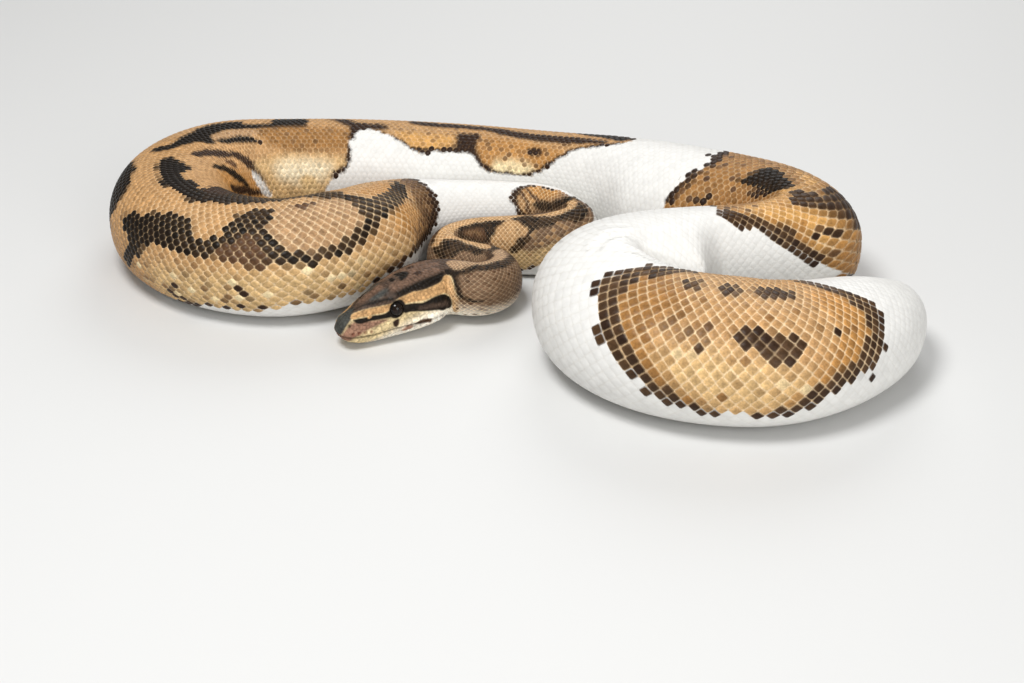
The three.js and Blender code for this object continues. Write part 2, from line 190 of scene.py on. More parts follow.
def evenly(rows, step=1.0):
    """Distances and rows at an even spacing in plan."""
    run = np.hypot(*np.diff(rows[:, :2], axis=0).T)
    run = np.concatenate([[0], np.cumsum(run)])
    s = np.linspace(0, run[-1], int(round(run[-1] / step)) + 1)
    return s, np.stack([np.interp(s, run, column) for column in rows.T], 1)


def softened(rows, passes):
    """Rows after passes of a short average, with both ends held."""
    now = rows.copy()
    for _ in range(passes):
        now[1:-1] = (now[:-2] + 2 * now[1:-1] + now[2:]) / 4
    return now


def half_widths(route, sideways, side):
    """Half widths on one side, narrowed where another length lies close by."""
    gap = route[None, :, :2] - route[:, None, :2]
    across = side * (gap * sideways[:, None]).sum(-1)
    share = route[:, 2][:, None] / (route[:, 2][:, None] + route[:, 2][None])
    free = np.where(across > 1e-6, share * (gap ** 2).sum(-1) / np.maximum(across, 1e-6), OPEN)
    free = np.minimum(free.min(1), OPEN) * KEEP - TOUCH / 2
    wide = route[:, 2]
    t = np.clip(0.5 + 0.5 * (free - wide) / SQUEEZE, 0, 1)
    now = wide * t + free * (1 - t) - SQUEEZE * t * (1 - t)
    for _ in range(PATH_SOFTNESS // 2):
        eased = (np.append(now[0], now[:-1]) + 2 * now + np.append(now[1:], now[-1])) / 4
        now = np.minimum(now, eased)
    return now


def smoothly(x, low, high):
    """A soft step from 0 at the low value to 1 at the high one."""
    t = np.clip((x - low) / (high - low), 0, 1)
    return t * t * (3 - 2 * t)


class Surface:
    """The snake's outer shape, looked up by distance from the snout (s) and share of the
    way round (v): 0 is the middle of the back, -1 and 1 the middle of the belly, and
    negative is the left side, on the way from snout to tail."""

    HALF = 64  # cells of the tables on each side of the back
    CAP_STATIONS = 15
    FINE_TO = 70  # the stations lie closer together up to here, mm
    FINE_STEP = 0.4
    STEP = 0.8
    ARC_SAMPLES = 241  # points on half a ring from which its arc lengths are summed

    def __init__(self):
        _, rows = evenly(spline_through(loft_rows()))
        self.at_s, self.route = evenly(softened(rows, PATH_SOFTNESS))
        self.length = self.at_s[-1]
        run = np.gradient(self.route[:, :2], axis=0)
        run /= np.linalg.norm(run, axis=1)[:, None]
        self.sideways = np.stack([-run[:, 1], run[:, 0]], 1)
        self.wide = [half_widths(self.route, self.sideways, side) for side in (1, -1)]
        cap = (1 - np.cos(np.linspace(0, math.pi / 2, self.CAP_STATIONS)))[:-1]
        fine = np.arange(SNOUT_CAP, self.FINE_TO, self.FINE_STEP)
        body = np.arange(self.FINE_TO, self.length - TAIL_CAP, self.STEP)
        tail = self.length - TAIL_CAP * cap[::-1]
        self.s = np.concatenate([cap * SNOUT_CAP, fine, body, tail])
        self.v = np.linspace(-1, 1, 2 * self.HALF + 1)
        self.tabulate()

    def ring(self, s, angle):
        """Points of the outer shape: angle 0 is the left flank, a quarter turn is the back."""
        def of(values):
            return np.interp(s, self.at_s, values)

        x, y, _, top, level, under = (of(column) for column in self.route.T)
        under = np.maximum(under, 0)
        nx, ny = of(self.sideways[:, 0]), of(self.sideways[:, 1])
        size = np.hypot(nx, ny)
        left, right = of(self.wide[0]), of(self.wide[1])

        def capped(d, cap):
            return np.where(d >= cap, 1, np.sqrt(np.maximum(0, 1 - (1 - d / cap) ** 2)))

        full = capped(s, SNOUT_CAP) * capped(self.length - s, TAIL_CAP)
        c, n = np.cos(angle), np.sin(angle)
        lower = CHIN_ROUND + (BELLY_ROUND - CHIN_ROUND) * smoothly(s, *THROAT)
        power = 2 / np.where(n >= 0, BACK_ROUND, lower)
        across = np.sign(c) * np.abs(c) ** power * np.where(c >= 0, left, right) * full
        up = np.where(n >= 0, top - level, (level - under) / FLAT_AT)
        z = np.maximum(level + np.sign(n) * np.abs(n) ** power * up, under)
        middle = np.where(s < SNOUT_CAP, SNOUT_MIDDLE, level)
        z = middle + (z - middle) * full
        return np.stack([x + nx / size * across, y + ny / size * across, z], -1)

    def tabulate(self):
        """Points, normals and arc lengths at every station and every share round."""
        fine = np.linspace(0, 1, self.ARC_SAMPLES)
        share = np.linspace(0, 1, self.HALF + 1)
        sides = []
        self.half_arc = []
        for turn in (-1, 1):
            angles = math.pi / 2 + turn * math.pi * fine
            dense = self.ring(self.s[:, None], angles[None])
            run = np.linalg.norm(np.diff(dense, axis=1), axis=2)
            run = np.concatenate([np.zeros((len(self.s), 1)), np.cumsum(run, 1)], 1)
            self.half_arc.append(run[:, -1])
            even = np.stack([np.interp(share * r[-1], r, angles) for r in run + 1e-9 * fine])
            sides.append(self.ring(self.s[:, None], even))
        self.points = np.concatenate([sides[0][:, ::-1], sides[1][:, 1:]], 1)
        along = np.gradient(self.points, self.s, axis=0)
        around = np.gradient(self.points, axis=1)
        normals = np.cross(along, around)
        size = np.linalg.norm(normals, axis=2)[..., None]
        self.normals = normals / np.maximum(size, 1e-12)
        middle = self.points.mean(1, keepdims=True)
        if ((self.points - middle) * self.normals).sum() < 0:
            self.normals = -self.normals
        for end, way in ((0, -1), (-1, 1)):
            tip = self.sideways[end]
            self.normals[end] = (way * tip[1], -way * tip[0], 0)

    def at(self, s, v, lift=0.0):
        """Points lifted off the outer shape along its normals, and those normals."""
        i, t = cell(self.s, s)
        j, u = cell(self.v, v)
        t, u = t[..., None], u[..., None]

        def of(table):
            low = table[i, j] * (1 - u) + table[i, j + 1] * u
            high = table[i + 1, j] * (1 - u) + table[i + 1, j + 1] * u
            return low * (1 - t) + high * t

        normal = of(self.normals)
        normal = normal / np.maximum(np.linalg.norm(normal, axis=-1), 1e-9)[..., None]
        return of(self.points) + normal * np.asarray(lift)[..., None], normal

    def arc(self, s, v):
        """Distance round from the middle of the back, negative on the left side."""
        left, right = (np.interp(s, self.s, half) for half in self.half_arc)
        return v * np.where(v < 0, left, right)

    def share(self, s, arc):
        """The share of the way round that lies at a distance from the middle of the back."""
        left, right = (np.interp(s, self.s, half) for half in self.half_arc)
        return np.clip(arc / np.where(arc < 0, left, right), -1, 1)


def cell(grid, x):
    """The table's cell that holds each value, and how far into it the value lies."""
    i = np.clip(np.searchsorted(grid, x, side="right") - 1, 0, len(grid) - 2)
    return i, np.clip((x - grid[i]) / (grid[i + 1] - grid[i]), 0, 1)


# ------------------------------------------------------------ colours and markings

PAINT = {
    "white": (0.89, 0.885, 0.87),
    "cream": (0.95, 0.87, 0.69),
    "straw": (0.86, 0.735, 0.53),
    "pale_tan": (0.84, 0.695, 0.485),
    "sand": (0.81, 0.675, 0.475),
    "tan": (0.735, 0.575, 0.395),
    "pink_tan": (0.69, 0.545, 0.395),
    "neck_tan": (0.63, 0.505, 0.385),
    "gold": (0.72, 0.52, 0.29),
    "honey": (0.83, 0.63, 0.37),
    "amber": (0.56, 0.40, 0.23),
    "amber_gold": (0.62, 0.445, 0.25),
    "dusk": (0.47, 0.35, 0.23),
    "flank": (0.475, 0.37, 0.28),
    "brown": (0.36, 0.255, 0.175),
    "umber": (0.20, 0.135, 0.095),
    "black": (0.10, 0.075, 0.05),
    "crown": (0.32, 0.255, 0.21),
    "crown_light": (0.44, 0.34, 0.275),
    "slate": (0.265, 0.27, 0.255),
    "stripe": (0.76, 0.595, 0.405),
    "lip": (0.85, 0.76, 0.58),
    "lip_brown": (0.58, 0.44, 0.36),
    "pit": (0.50, 0.26, 0.20),
    "jaw": (0.97, 0.93, 0.86),
    "ivory": (0.93, 0.875, 0.75),
    "belly": (0.91, 0.89, 0.84),
}

# Where there is pigment at all. An outline's points are complex numbers: mm from the snout,
# and mm round from the middle of the back as the imaginary part.
PIGMENT = {
    "fore": (
        -6-60j, 60-50j, 80-31j, 120-27j, 160-24j, 190-23j, 210-23j, 219-19j, 221-13j, 224-9j, 219-3j,
        212-1j, 203-0.5j, 196+0.5j, 191+3j, 188+11j, 184+15j, 176+20j, 168+27j, 160+30j, 150+27j, 120+26j,
        80+31j, 60+50j, -6+60j,
    ),
    "coil": (
        267+20j, 265+10j, 264+2j, 262-4j, 260-11j, 261-20j, 266-26j, 273-31j, 281-36j, 291-39j, 300-42j,
        310-46j, 318-50j, 330-53j, 342-53j, 348-57j, 358-58j, 366-57j, 372-61j, 382-63j, 400-65j, 430-67j,
        460-63j, 490-60j, 515-54j, 528-46j, 536-37j, 541-24j, 548-30j, 560-33j, 574-26j, 590-31j, 612-32j,
        632-24j, 650-17j, 664-9j, 661+0j, 652+4j, 642+7j, 634+12j, 628+18j, 621+22j, 609+23j, 600+22.5j,
        594+19.5j, 590+16j, 580+16j, 571+17j, 564+18j, 559+16j, 553+11j, 546+7j, 539+3.5j, 535+4j, 531+9j,
        529+15j, 530+22j, 527+28j, 522+31j, 518+35j, 514+42j, 500+49j, 470+56j, 440+60j, 410+60j, 380+56j,
        350+52j, 320+46j, 295+40j, 277+32j,
    ),
    "right": (
        700+36j, 700+29j, 701+24j, 703+18j, 705+13j, 708+8j, 708+2j, 706-5j, 706-12j, 703-24j, 705-42j,
        716-58j, 738-66j, 756-62j, 766-44j, 769-37j, 773-31j, 777-25.5j, 780-23j, 783-19j, 786-14j,
        790-11j, 795-9.5j, 799-6.5j, 803-2.5j, 801+4j, 799+9j, 797+18j, 790+30j, 774+42j, 752+50j,
        730+55j, 712+50j,
    ),
    "outer": (
        892-12j, 886-6j, 882.5-2j, 879.8+3j, 878.8+10j, 877+15j, 876.4+20j, 879+25j, 882.4+29.5j,
        884.6+34j, 887.6+40j, 892+45j, 895+50j, 899+53j, 903+57j, 907+60j, 912+61j, 917+63j, 921+61j,
        926+62j, 930+65j, 934+62j, 938+61j, 942+60j, 945+57j, 949+52j, 953+49j, 958+46j, 962+44j, 966+41j,
        970+35j, 971+30j, 974+24j, 976+18j, 975+11j, 972+4j, 968-2j, 963-8j, 959-18j, 946-29j, 926-33j,
        908-28j, 898-19j,
    ),
}

# Blotches laid over the ground colour in this order: name, paint, softness in mm, outline.
BLOTCHES = (
    # neck
    ("neck ground", "flank", 4.0, 56-30j, 125-30j, 190-24j, 215-22j, 196+3j, 188+18j, 160+20j, 120+30j,
     80+34j, 54+30j),
    ("neck low flank", "sand", 2.0, 140+20j, 157+19j, 163+17j, 170+16j, 188+13j, 184+30j, 160+36j,
     140+30j),
    ("throat pale", "jaw", 5.0, 54+24j, 70+25j, 92+27j, 92+50j, 54+50j),
    ("back stripe 1", "neck_tan", 0.4, 56-6j, 60-7j, 66-4.8j, 74-3.4j, 82-3.2j, 88-2.4j, 94-2j, 94+4.8j,
     90+4.8j, 86+3j, 81+1.6j, 75+0.4j, 70+0j, 66.6+1.2j, 64.6+3.8j, 61.4+4.7j, 58+3.6j, 56+0j),
    ("back stripe 2", "tan", 0.5, 97-1.5j, 101-1.5j, 106+0j, 112+0j, 115.5-2j, 117-6j, 118-10j, 119.5-9j,
     121-6j, 124-4j, 135-3.2j, 150-3.8j, 157-3j, 163-1j, 172-1.2j, 182-2j, 190-2.6j, 190+2.4j, 183+1.8j,
     176+2.6j, 169+0.8j, 163-0.4j, 158+1j, 155+3j, 150+2.8j, 140+2.7j, 130+3j, 124+3.4j, 116+6j, 105+6.5j,
     98+5j),
    ("flank blotch 2", "black", 0.5, 97-1.4j, 102-2.4j, 106-1j, 112-0.6j, 115.4-2.6j, 117-6j, 116.6-12j,
     112-11j, 109-8j, 107-5j, 102-5j, 97-5j),
    ("shoulder ring", "black", 0.4, 126+5j, 130+3.8j, 138+3.4j, 146+3j, 151.4+3.2j, 152.6+5j, 148.6+8.6j,
     146.6+13.4j, 141+13j, 134+10.8j, 128+8j),
    ("ring middle", "brown", 0.9, 130+6.4j, 137+6.2j, 142+7.2j, 144+10j, 142.4+11.6j, 135+9.6j),
    ("ring light", "dusk", 0.8, 131.6+7j, 136+7j, 140.6+8.4j, 141+10j, 136+8.8j),
    ("flank mesh 3", "flank", 1.5, 160+14.5j, 165+9.5j, 176+8j, 187+8j, 187.6+15j, 178+14.5j, 170+18j,
     163+19.5j),
    ("shoulder spot", "tan", 0.4, 152+4.5j, 156+3j, 160+5.5j, 163.4+8.6j, 163+11j, 160+13j, 157.5+16j,
     155+18j, 150+16j, 147.5+13.5j, 148+9j),
    ("flank band 3", "black", 0.4, 157+1.4j, 162-0.2j, 168+1.6j, 174+3.6j, 181+2.2j, 187+3.6j, 186+8.5j,
     181+8.5j, 176+6.5j, 170+8.5j, 166+9.5j, 164+12j, 161+17j, 157+19j, 156.5+16.5j, 160.5+13.5j,
     164+10.5j, 163.5+8.4j, 160+5j),
    ("nape end gold", "gold", 3.0, 196+1j, 202-9j, 212-8j, 220-4j, 212+0j),
    ("nape end dark", "black", 0.7, 190-4j, 195-9.5j, 201-12.6j, 209-13j, 210.6-11.4j, 206-9.4j, 199-8.4j,
     194.6-5j, 192+0j, 189.6+3j),
    # left coil
    ("swell mottle", "dusk", 3.5, 262-26j, 262-2j, 270+8j, 276+2j, 276-8j, 280-18j, 284-30j, 296-40j,
     280-38j),
    ("swell gold", "gold", 3.0, 278-26j, 290-33j, 302-28j, 301-16j, 288-15j, 279-19j),
    ("swell lower gold", "gold", 2.0, 283-6j, 292-7.5j, 301-6j, 304+0j, 292+3j, 281+3j),
    ("front cream", "sand", 6.0, 300-36j, 330-34j, 362-38j, 384-44j, 380-62j, 340-62j, 312-52j),
    ("hook", "black", 0.5, 276+2.5j, 275.8-3.5j, 279-8j, 283.8-12j, 291-15.5j, 299.6-17.6j, 304.9-18.6j,
     308-20j, 311-22.5j, 315-26.2j, 320-29.6j, 326-31.8j, 332-32.8j, 339-33.4j, 345-31.6j, 350-29.6j,
     356-28j, 362-30j, 369-33j, 377-31.5j, 386-34j, 390-39j, 394-46j, 399-52j, 400-50j, 397.5-42j,
     396.5-37j, 401-33.5j, 402.5-30j, 400.5-27j, 396-24.5j, 391-21j, 386-17.5j, 381-15.5j, 376-15.8j,
     373-20j, 370-24j, 366-24j, 362-21j, 360-16j, 358.5-10j, 355-4j, 347-1j, 343.5-1.5j, 345-8j,
     346.5-16j, 343.5-24j, 339-27.5j, 332-28j, 325-26.5j, 318-22j, 314.5-17j, 313-10j, 313.5-4j, 311+1j,
     308-3j, 305-6.4j, 300.5-7.4j, 295.6-7j, 288-5.4j, 281-0.8j),
    ("hook fade", "brown", 1.2, 347-33j, 352-33.6j, 361-31j, 359-26j, 354-20j, 350-21j),
    ("saddle", "pink_tan", 0.6, 313.5-2j, 312.6-9j, 314-16.5j, 318-21.5j, 325-26j, 332-28j, 338.5-27.3j,
     343-24j, 346-17j, 346-10j, 344-3j, 338+0.2j, 326+1.2j, 317+0j),
    ("saddle notch", "brown", 0.8, 328-0.4j, 332-2.6j, 336.4-2j, 336.6+1j, 328+1j),
    ("ridge dark", "black", 0.8, 311+0.5j, 316+1j, 321+2j, 324+7j, 330+10j, 338+9.4j, 346+7.4j, 357+3.5j,
     366+0.5j, 374-2.5j, 382-5.6j, 389-4.4j, 395-3.2j, 402-6j, 411-5j, 420-5.4j, 426-3j, 427+1j, 422+6j,
     417+9.6j, 411+5j, 404+3j, 398+7j, 392+6j, 387.5+3.5j, 387+9j, 390+15j, 384+21j, 370+22j, 352+20j,
     335+21j, 320+17j, 311+10j),
    ("ridge fade", "umber", 2.0, 375+8j, 386+6j, 386+14j, 377+14j),
    ("left end blotch", "black", 0.6, 413-36j, 410.6-31j, 411-25j, 414-20.6j, 420-18j, 427-18j, 433-23j,
     438-34j, 433-46j, 424-52j, 415-46j),
    ("left end blotch low", "umber", 1.0, 447-24j, 462-22j, 470-30j, 466-44j, 452-46j, 444-36j),
    # behind
    ("back line", "black", 0.7, 434-11j, 438-11j, 439-5.4j, 446-4.8j, 455-5.4j, 460-7.6j, 470-7.8j,
     477.6-6.4j, 478.4-2j, 491-2.6j, 493.6-11j, 507-11j, 507.6+0.6j, 505+3j, 490+3.4j, 478+2.4j, 466+2.4j,
     460+3.6j, 457+6.4j, 456+10j, 452.6+9j, 449+5.4j, 444+2j, 438-1j, 435-4j),
    ("back streak 1", "black", 0.5, 459+8j, 466+9.6j, 478+9.2j, 482+11j, 483+14j, 477+13.4j, 466+13j,
     459+11j),
    ("back streak 2", "black", 0.5, 484+5.4j, 490+5.4j, 497+7j, 498.6+11j, 503+15.4j, 505+19j, 501+18.4j,
     496+13j, 490+10j, 485+9j),
    ("back oval", "pink_tan", 0.8, 457+6j, 462+3.6j, 474+3.2j, 484+5j, 484+8.8j, 472+9j, 460+8.6j),
    ("bend gold", "gold", 4.0, 426+24j, 450+26j, 478+32j, 486+44j, 450+46j, 424+40j),
    ("bend streak 1", "umber", 0.5, 434+8.4j, 441+10.4j, 449+14j, 458+17.4j, 467+20j, 475+23j, 482+27.4j,
     485+33j, 489+40.5j, 486.6+40.8j, 482+35j, 477.6+29.6j, 470+25.6j, 462+21.8j, 451+19.4j, 441+15j,
     434+11.4j),
    ("bend streak 2", "black", 0.5, 430+19.6j, 437+21j, 445+23.6j, 452+27.6j, 460+32.4j, 470+36.6j,
     466+37j, 457+34.4j, 449+31j, 441+26.8j, 432+22.4j),
    ("bend streak 3", "brown", 0.6, 449+21.4j, 454+22.2j, 458+25j, 457+26.4j, 452+24.6j),
    ("bend streak 4", "umber", 0.6, 430+32j, 446+35j, 470+37.6j, 486+39.4j, 470+41j, 446+38.4j, 430+35j),
    ("rear brown", "amber_gold", 3.5, 488+3j, 528+4j, 531+17j, 512+19j, 500+19j, 488+15j),
    ("behind cream", "sand", 3.5, 480+26j, 492+21.6j, 508+21j, 527+23j, 523+33j, 508+44j, 486+46j,
     486+34j),
    ("behind white", "ivory", 4.5, 492+26j, 506+23.6j, 520+26j, 514+33j, 496+34j),
    ("behind yellow", "straw", 1.5, 503+33j, 510+31j, 513+38j, 506+41j),
    ("bend sliver", "white", 0.3, 476.5+30j, 480.5+30.6j, 485.6+35.6j, 488.6+41j, 485.4+41.4j, 481+37.4j,
     477.6+33.6j),
    ("notch edge", "umber", 0.7, 529.4+3j, 533+0j, 536.6+2j, 536.4+16j, 531+17j, 529+12j),
    ("back grey", "umber", 1.8, 519-10j, 526-10j, 531-4j, 541-2.6j, 546+0j, 545+3j, 536+3.4j, 530+3j,
     525-2j),
    ("lobe gold 1", "honey", 2.5, 552+5j, 566+6j, 579+6j, 579+17j, 564+19j, 556+14j),
    ("lobe notch", "umber", 1.4, 581+4j, 586+2.6j, 592+3.4j, 592+11j, 597+18j, 594+21j, 578+19j, 577+14j,
     582+12j),
    ("lobe gold 2", "gold", 2.5, 594+6j, 612+5j, 628+7j, 634+10j, 622+23j, 606+25j, 596+20j),
    ("lobe bright", "cream", 3.0, 604+17j, 616+16j, 622+19j, 612+25j, 602+23j),
    ("lobe spot", "umber", 1.0, 617+9.6j, 622+9j, 624+11j, 619+12j),
    ("spine line", "umber", 1.0, 557-12j, 566-8.8j, 580-8.2j, 596-7j, 606-4.6j, 620-3j, 640-2.8j,
     653-1.4j, 651+1.6j, 635+3.4j, 618+3.2j, 604+1.4j, 595-1.6j, 580-2.6j, 566-2.8j, 557-5j),
    ("spine end", "black", 0.8, 634-14j, 640-8.6j, 650-5.6j, 660-3.4j, 664-10j, 655-16j),
    ("far blotch", "black", 0.7, 470-23j, 482-20j, 494-24j, 498-34j, 490-43j, 478-41j, 470-33j),
    ("far spot", "tan", 0.7, 480-28j, 486-27j, 489-32j, 484-36j, 479-33j),
    ("far blotch 2", "umber", 0.8, 508-44j, 518-41j, 523-32j, 516-26j, 508-29j),
    # right end
    ("right far blotch", "black", 0.7, 722-26j, 732-22j, 742-26j, 746-38j, 738-48j, 726-45j, 720-36j),
    ("right inner blotch", "umber", 0.8, 724+38j, 734+35j, 744+37j, 742+44j, 728+46j),
    ("right warm", "amber_gold", 4.0, 698+40j, 703+8j, 708-14j, 728-16j, 748-24j, 758-60j, 776-46j,
     790-12j, 806-2j, 802+10j, 780+14j, 752+18j, 730+28j, 712+40j),
    ("right glow", "honey", 3.0, 742-12j, 750-9j, 755-4j, 756+4j, 770+5j, 790+4j, 782-8j, 771-16j,
     769-30j, 764-34j, 762-24j, 766-12j, 770-5j, 764+1j, 757+0j, 753-12j, 746-16j),
    ("right black", "black", 0.6, 727.6+12.6j, 727.6+9.4j, 730.6+5j, 731.4-0.5j, 733.8-4.6j, 739-5.2j,
     741.6-2.6j, 746-2.2j, 750-2.2j, 753.4+0j, 753.6+5j, 750+8.8j, 746+10j, 741+10.4j, 735+11.6j),
    ("right streak", "umber", 0.6, 736+15j, 740+12.4j, 746+11j, 749+10.6j, 746+13.6j),
    ("right streak 2", "umber", 0.6, 713.6+28j, 715.4+24j, 717.4+22j, 717+25j),
    # A real dark band; its lower part, from about 20 to 38 mm round on the left, is a painted shadow
    # where the coil meets the floor.
    ("right band", "umber", 0.7, 750.5-21j, 754-15j, 757-12.6j, 757-4.4j, 758.6-1j, 763-1j, 767-4j,
     766.4-7.6j, 764-10j, 762.4-14j, 762.6-18j, 760-22j, 759-30j, 756-38j, 751-36j, 750-28j),
    # outer length
    ("outer pale", "pale_tan", 8.0, 902+42j, 918+34j, 936+40j, 944+46j, 936+58j, 914+58j),
    ("outer warm left", "amber_gold", 3.5, 884+0j, 897-1j, 905+10j, 904+20j, 899+32j, 908+50j, 918+58j,
     908+62j, 894+46j, 884+30j, 880+14j),
    ("outer warm right", "gold", 3.5, 954+2j, 968+4j, 973+18j, 968+32j, 954+44j, 944+56j, 934+60j,
     944+44j, 950+34j, 956+22j),
    ("outer bar", "umber", 0.4, 922.6+25.8j, 926+23.6j, 931+23.6j, 936+26j, 940.6+28.4j, 941.6+31j,
     939.6+34.6j, 936.8+38.6j, 933+36j, 929+32.4j, 924+29.4j),
    ("outer spot 2", "umber", 1.0, 903.4-2j, 908-2.2j, 908.8+2j, 905.4+4.6j, 902.8+3.8j),
    ("outer spot 3", "umber", 1.0, 918-2.6j, 924-3j, 925+1.6j, 921+4j, 918+2j),
    ("outer spot 4", "umber", 1.0, 930-2j, 936-4.4j, 942-4.4j, 946.4+0.6j, 945.6+4.4j, 939+4j, 931+1.6j),
)

# Dark edges where the pigment ends, and thin lines: name, paint, points with half widths.
STROKES = (
    ("light bar edge", "black", (56, 5.4, 0.7), (59.5, 8, 0.9), (62, 12.5, 1.1), (64.2, 17.4, 1.1),
     (67, 18.8, 0.8), (70, 18.6, 0.3)),
    ("stripe bar", "black", (93.4, -2.6, 1.2), (94.2, 0, 1.5), (95.4, 3, 1.8), (97, 5.5, 1.6)),
    ("stripe edge 1", "umber", (74, -5.6, 1.5), (82, -5, 1.8), (90, -3.8, 1.5), (94, -3, 1.4)),
    ("stripe edge 2", "black", (57, 5.4, 1.2), (61, 6.2, 1.3), (64.6, 5.2, 1.5), (67.4, 3.2, 1.9),
     (71, 2.4, 2.1), (76, 3, 2.2), (81, 4.2, 2.0), (86, 6, 1.5), (90, 7.6, 1.0)),
    ("turn edge", "umber", (119.8, -9, 0.8), (121, -6.6, 1.2), (124, -5, 0.9)),
    ("stripe edge 3", "umber", (156, -4.4, 1.0), (166, -3.4, 1.4), (178, -3.4, 1.2), (188, -4, 0.9)),
    ("stripe end bar", "black", (190.6, -3.6, 1.2), (191.2, 0, 1.5), (191, 3.4, 1.4)),
    ("fore edge", "umber", (208, -22, 1.0), (216, -19, 1.6), (220.6, -14, 1.6), (221.6, -9, 1.5),
     (218.6, -4, 1.4), (214, -1.4, 0.9)),
    ("nape streak", "brown", (213, -16.5, 0.8), (215, -12, 1.0), (217.4, -7, 0.8)),
    ("nape streak 2", "brown", (207, -10, 0.7), (212, -7.6, 0.7), (215, -4, 0.6)),
    ("swell edge", "umber", (266, 12, 1.2), (264.6, 2, 1.6), (261.6, -8, 2.0), (262.6, -19, 2.6),
     (269, -28.6, 3.0), (281, -35, 2.8), (297, -40, 2.0), (312, -46, 0.7)),
    ("belly edge", "umber", (369, -58, 0.6), (371.4, -60.4, 1.0), (374, -61, 0.8)),
    ("behind edge", "umber", (521, 31, 1.0), (528.6, 26, 1.1), (529.6, 16, 1.3), (532.4, 7, 1.6),
     (536, 3.4, 0.9), (545, 6.6, 0.7), (553, 11.4, 0.8), (561, 16.8, 1.0), (571, 16.6, 1.2),
     (581, 15.6, 1.2), (590, 16, 1.3), (596, 19.8, 1.0), (604, 22.6, 0.6), (616, 22.4, 0.6),
     (625, 19.4, 1.1), (633, 12.4, 1.2), (642, 6.6, 1.0), (653, 3, 1.0), (661, 0, 1.0)),
    ("far edge", "umber", (515, -53, 1.2), (530, -44, 1.4), (540, -27, 1.5), (560, -31, 1.4),
     (576, -26, 1.3), (600, -30, 1.4), (630, -23, 1.4), (648, -16.6, 1.4), (662, -8, 1.4)),
    ("right edge in", "umber", (706.6, -14, 2.4), (708.4, -6, 2.4), (709.4, 2, 2.0), (708, 8, 1.6),
     (705.4, 13, 2.0), (703, 19, 2.2), (701, 25, 1.8), (701, 31, 1.6)),
    ("right edge out", "umber", (767, -44, 1.2), (770, -36, 2.0), (773.6, -28, 3.2), (778.6, -20, 4.0),
     (785, -13.4, 4.4), (792, -7, 4.6), (798, -2, 4.4), (799, 3, 3.0)),
    ("outer edge", "umber", (900, -15, 4.2), (890, -5.6, 5.4), (885, 1, 5.2), (882.4, 8, 4.8),
     (881, 15, 4.6), (881.6, 21, 4.6), (884.4, 28, 4.0), (888, 35, 3.8), (892.6, 42, 3.6), (898, 49, 3.4),
     (904, 55, 2.8), (911, 60, 2.2), (918, 62, 1.8), (926, 64, 2.0), (934, 62, 2.0), (941, 57, 2.8),
     (946, 51.6, 3.2), (952, 46, 3.6), (959, 41, 4.0), (965, 36, 4.4), (970, 30, 4.6), (972, 23, 5.0),
     (973, 16, 5.0), (971.6, 9, 5.0), (968, 2, 4.6), (964, -5, 4.0), (959, -12, 3.0)),
)

# Single dark scales: the ones nearest to these places, in mm.
FLECKS = (
    (353, -46.4), (355, -43.6), (375, -57.6), (377.5, -55.4), (379.4, -53.4), (376, -50),
    (347.6, -55.4), (354.8, -54.8), (358.6, -56.8), (366, -56.4), (371.6, -60), (374, -59.4),
    (485, 14.4), (619, 10), (622, 10.6), (567, 18.6), (705, -3.4), (764.4, -29), (764.6, -27),
    (767.4, -23.4), (886.4, 37), (888.6, 41.6), (895, 49), (897, 52.6), (901.4, 56), (912.8, 33),
    (917, 63), (919.6, 61.6), (952.8, 26.8), (965, 47),
)

# Single scales that are only a little darker than the rest, in mm.
FAINT_FLECKS = (
    (321.5, -41), (326, -46.5), (336.6, -45), (366, -46.6), (372, -42), (351.6, -48.4),
    (364, -43.4), (357, -42), (330, -50), (512, 14), (905.6, 24), (909, 28), (904, 27),
)

# Mottled areas: paint, share of the scales that take it, softness in mm, outline.
SPECKLES = (
    ("umber", 0.60, 2.0, 261-27j, 259-10j, 262+6j, 266+14j, 271+8j, 268-6j, 270-18j, 279-30j, 294-37j,
     310-42j, 310-48j, 294-44j, 276-37j),
    ("brown", 0.40, 3.0, 268-30j, 266+4j, 278+6j, 279-10j, 284-20j, 302-36j, 288-39j),
    ("brown", 0.30, 3.0, 371-62j, 383-62j, 384-48j, 374-44j),
    ("dusk", 0.15, 3.0, 490+2j, 530+3j, 530+18j, 500+19j),
    ("dusk", 0.18, 2.0, 551+6j, 572+14j, 590+15j, 600+21j, 624+18j, 636+9j, 660+1j, 660-6j, 630+3j,
     590+3j, 556+1j),
    ("umber", 0.30, 2.0, 700+24j, 706+10j, 714+9j, 716+20j, 706+34j),
    ("brown", 0.22, 3.0, 708-14j, 730-14j, 728+14j, 714+28j, 702+34j),
    ("brown", 0.22, 3.0, 766-44j, 772-30j, 780-16j, 798+0j, 794+8j, 776-2j, 768-12j, 764-30j),
    ("gold", 0.30, 3.0, 756-34j, 766-34j, 790-8j, 796+6j, 758+8j),
    ("gold", 0.16, 2.0, 966-8j, 977+8j, 978+22j, 972+36j, 946+58j, 940+56j, 958+34j, 966+18j),
    ("brown", 0.50, 1.0, 903+22j, 908+23j, 911+29j, 910+33j, 905+28j),
    ("brown", 0.50, 1.0, 912+28j, 918+24j, 923+22j, 922+28j, 916+32j),
    ("amber", 0.12, 3.0, 898+10j, 930+8j, 960+12j, 952+40j, 926+56j, 902+44j),
    ("cream", 0.05, 3.0, 902+30j, 926+34j, 944+40j, 936+58j, 912+56j),
    ("cream", 0.10, 3.0, 304-36j, 340-36j, 384-40j, 388-56j, 350-55j, 318-48j),
    ("dusk", 0.18, 3.0, 298-34j, 340-36j, 388-38j, 392-58j, 350-56j, 312-48j),
    ("brown", 0.16, 4.0, 58+4j, 92+6j, 92+30j, 66+30j),
    ("tan", 0.22, 1.5, 163+10j, 188+4j, 188+14j, 170+18j, 160+20j),
)
FAINT = 0.55  # share of umber in the faint flecks
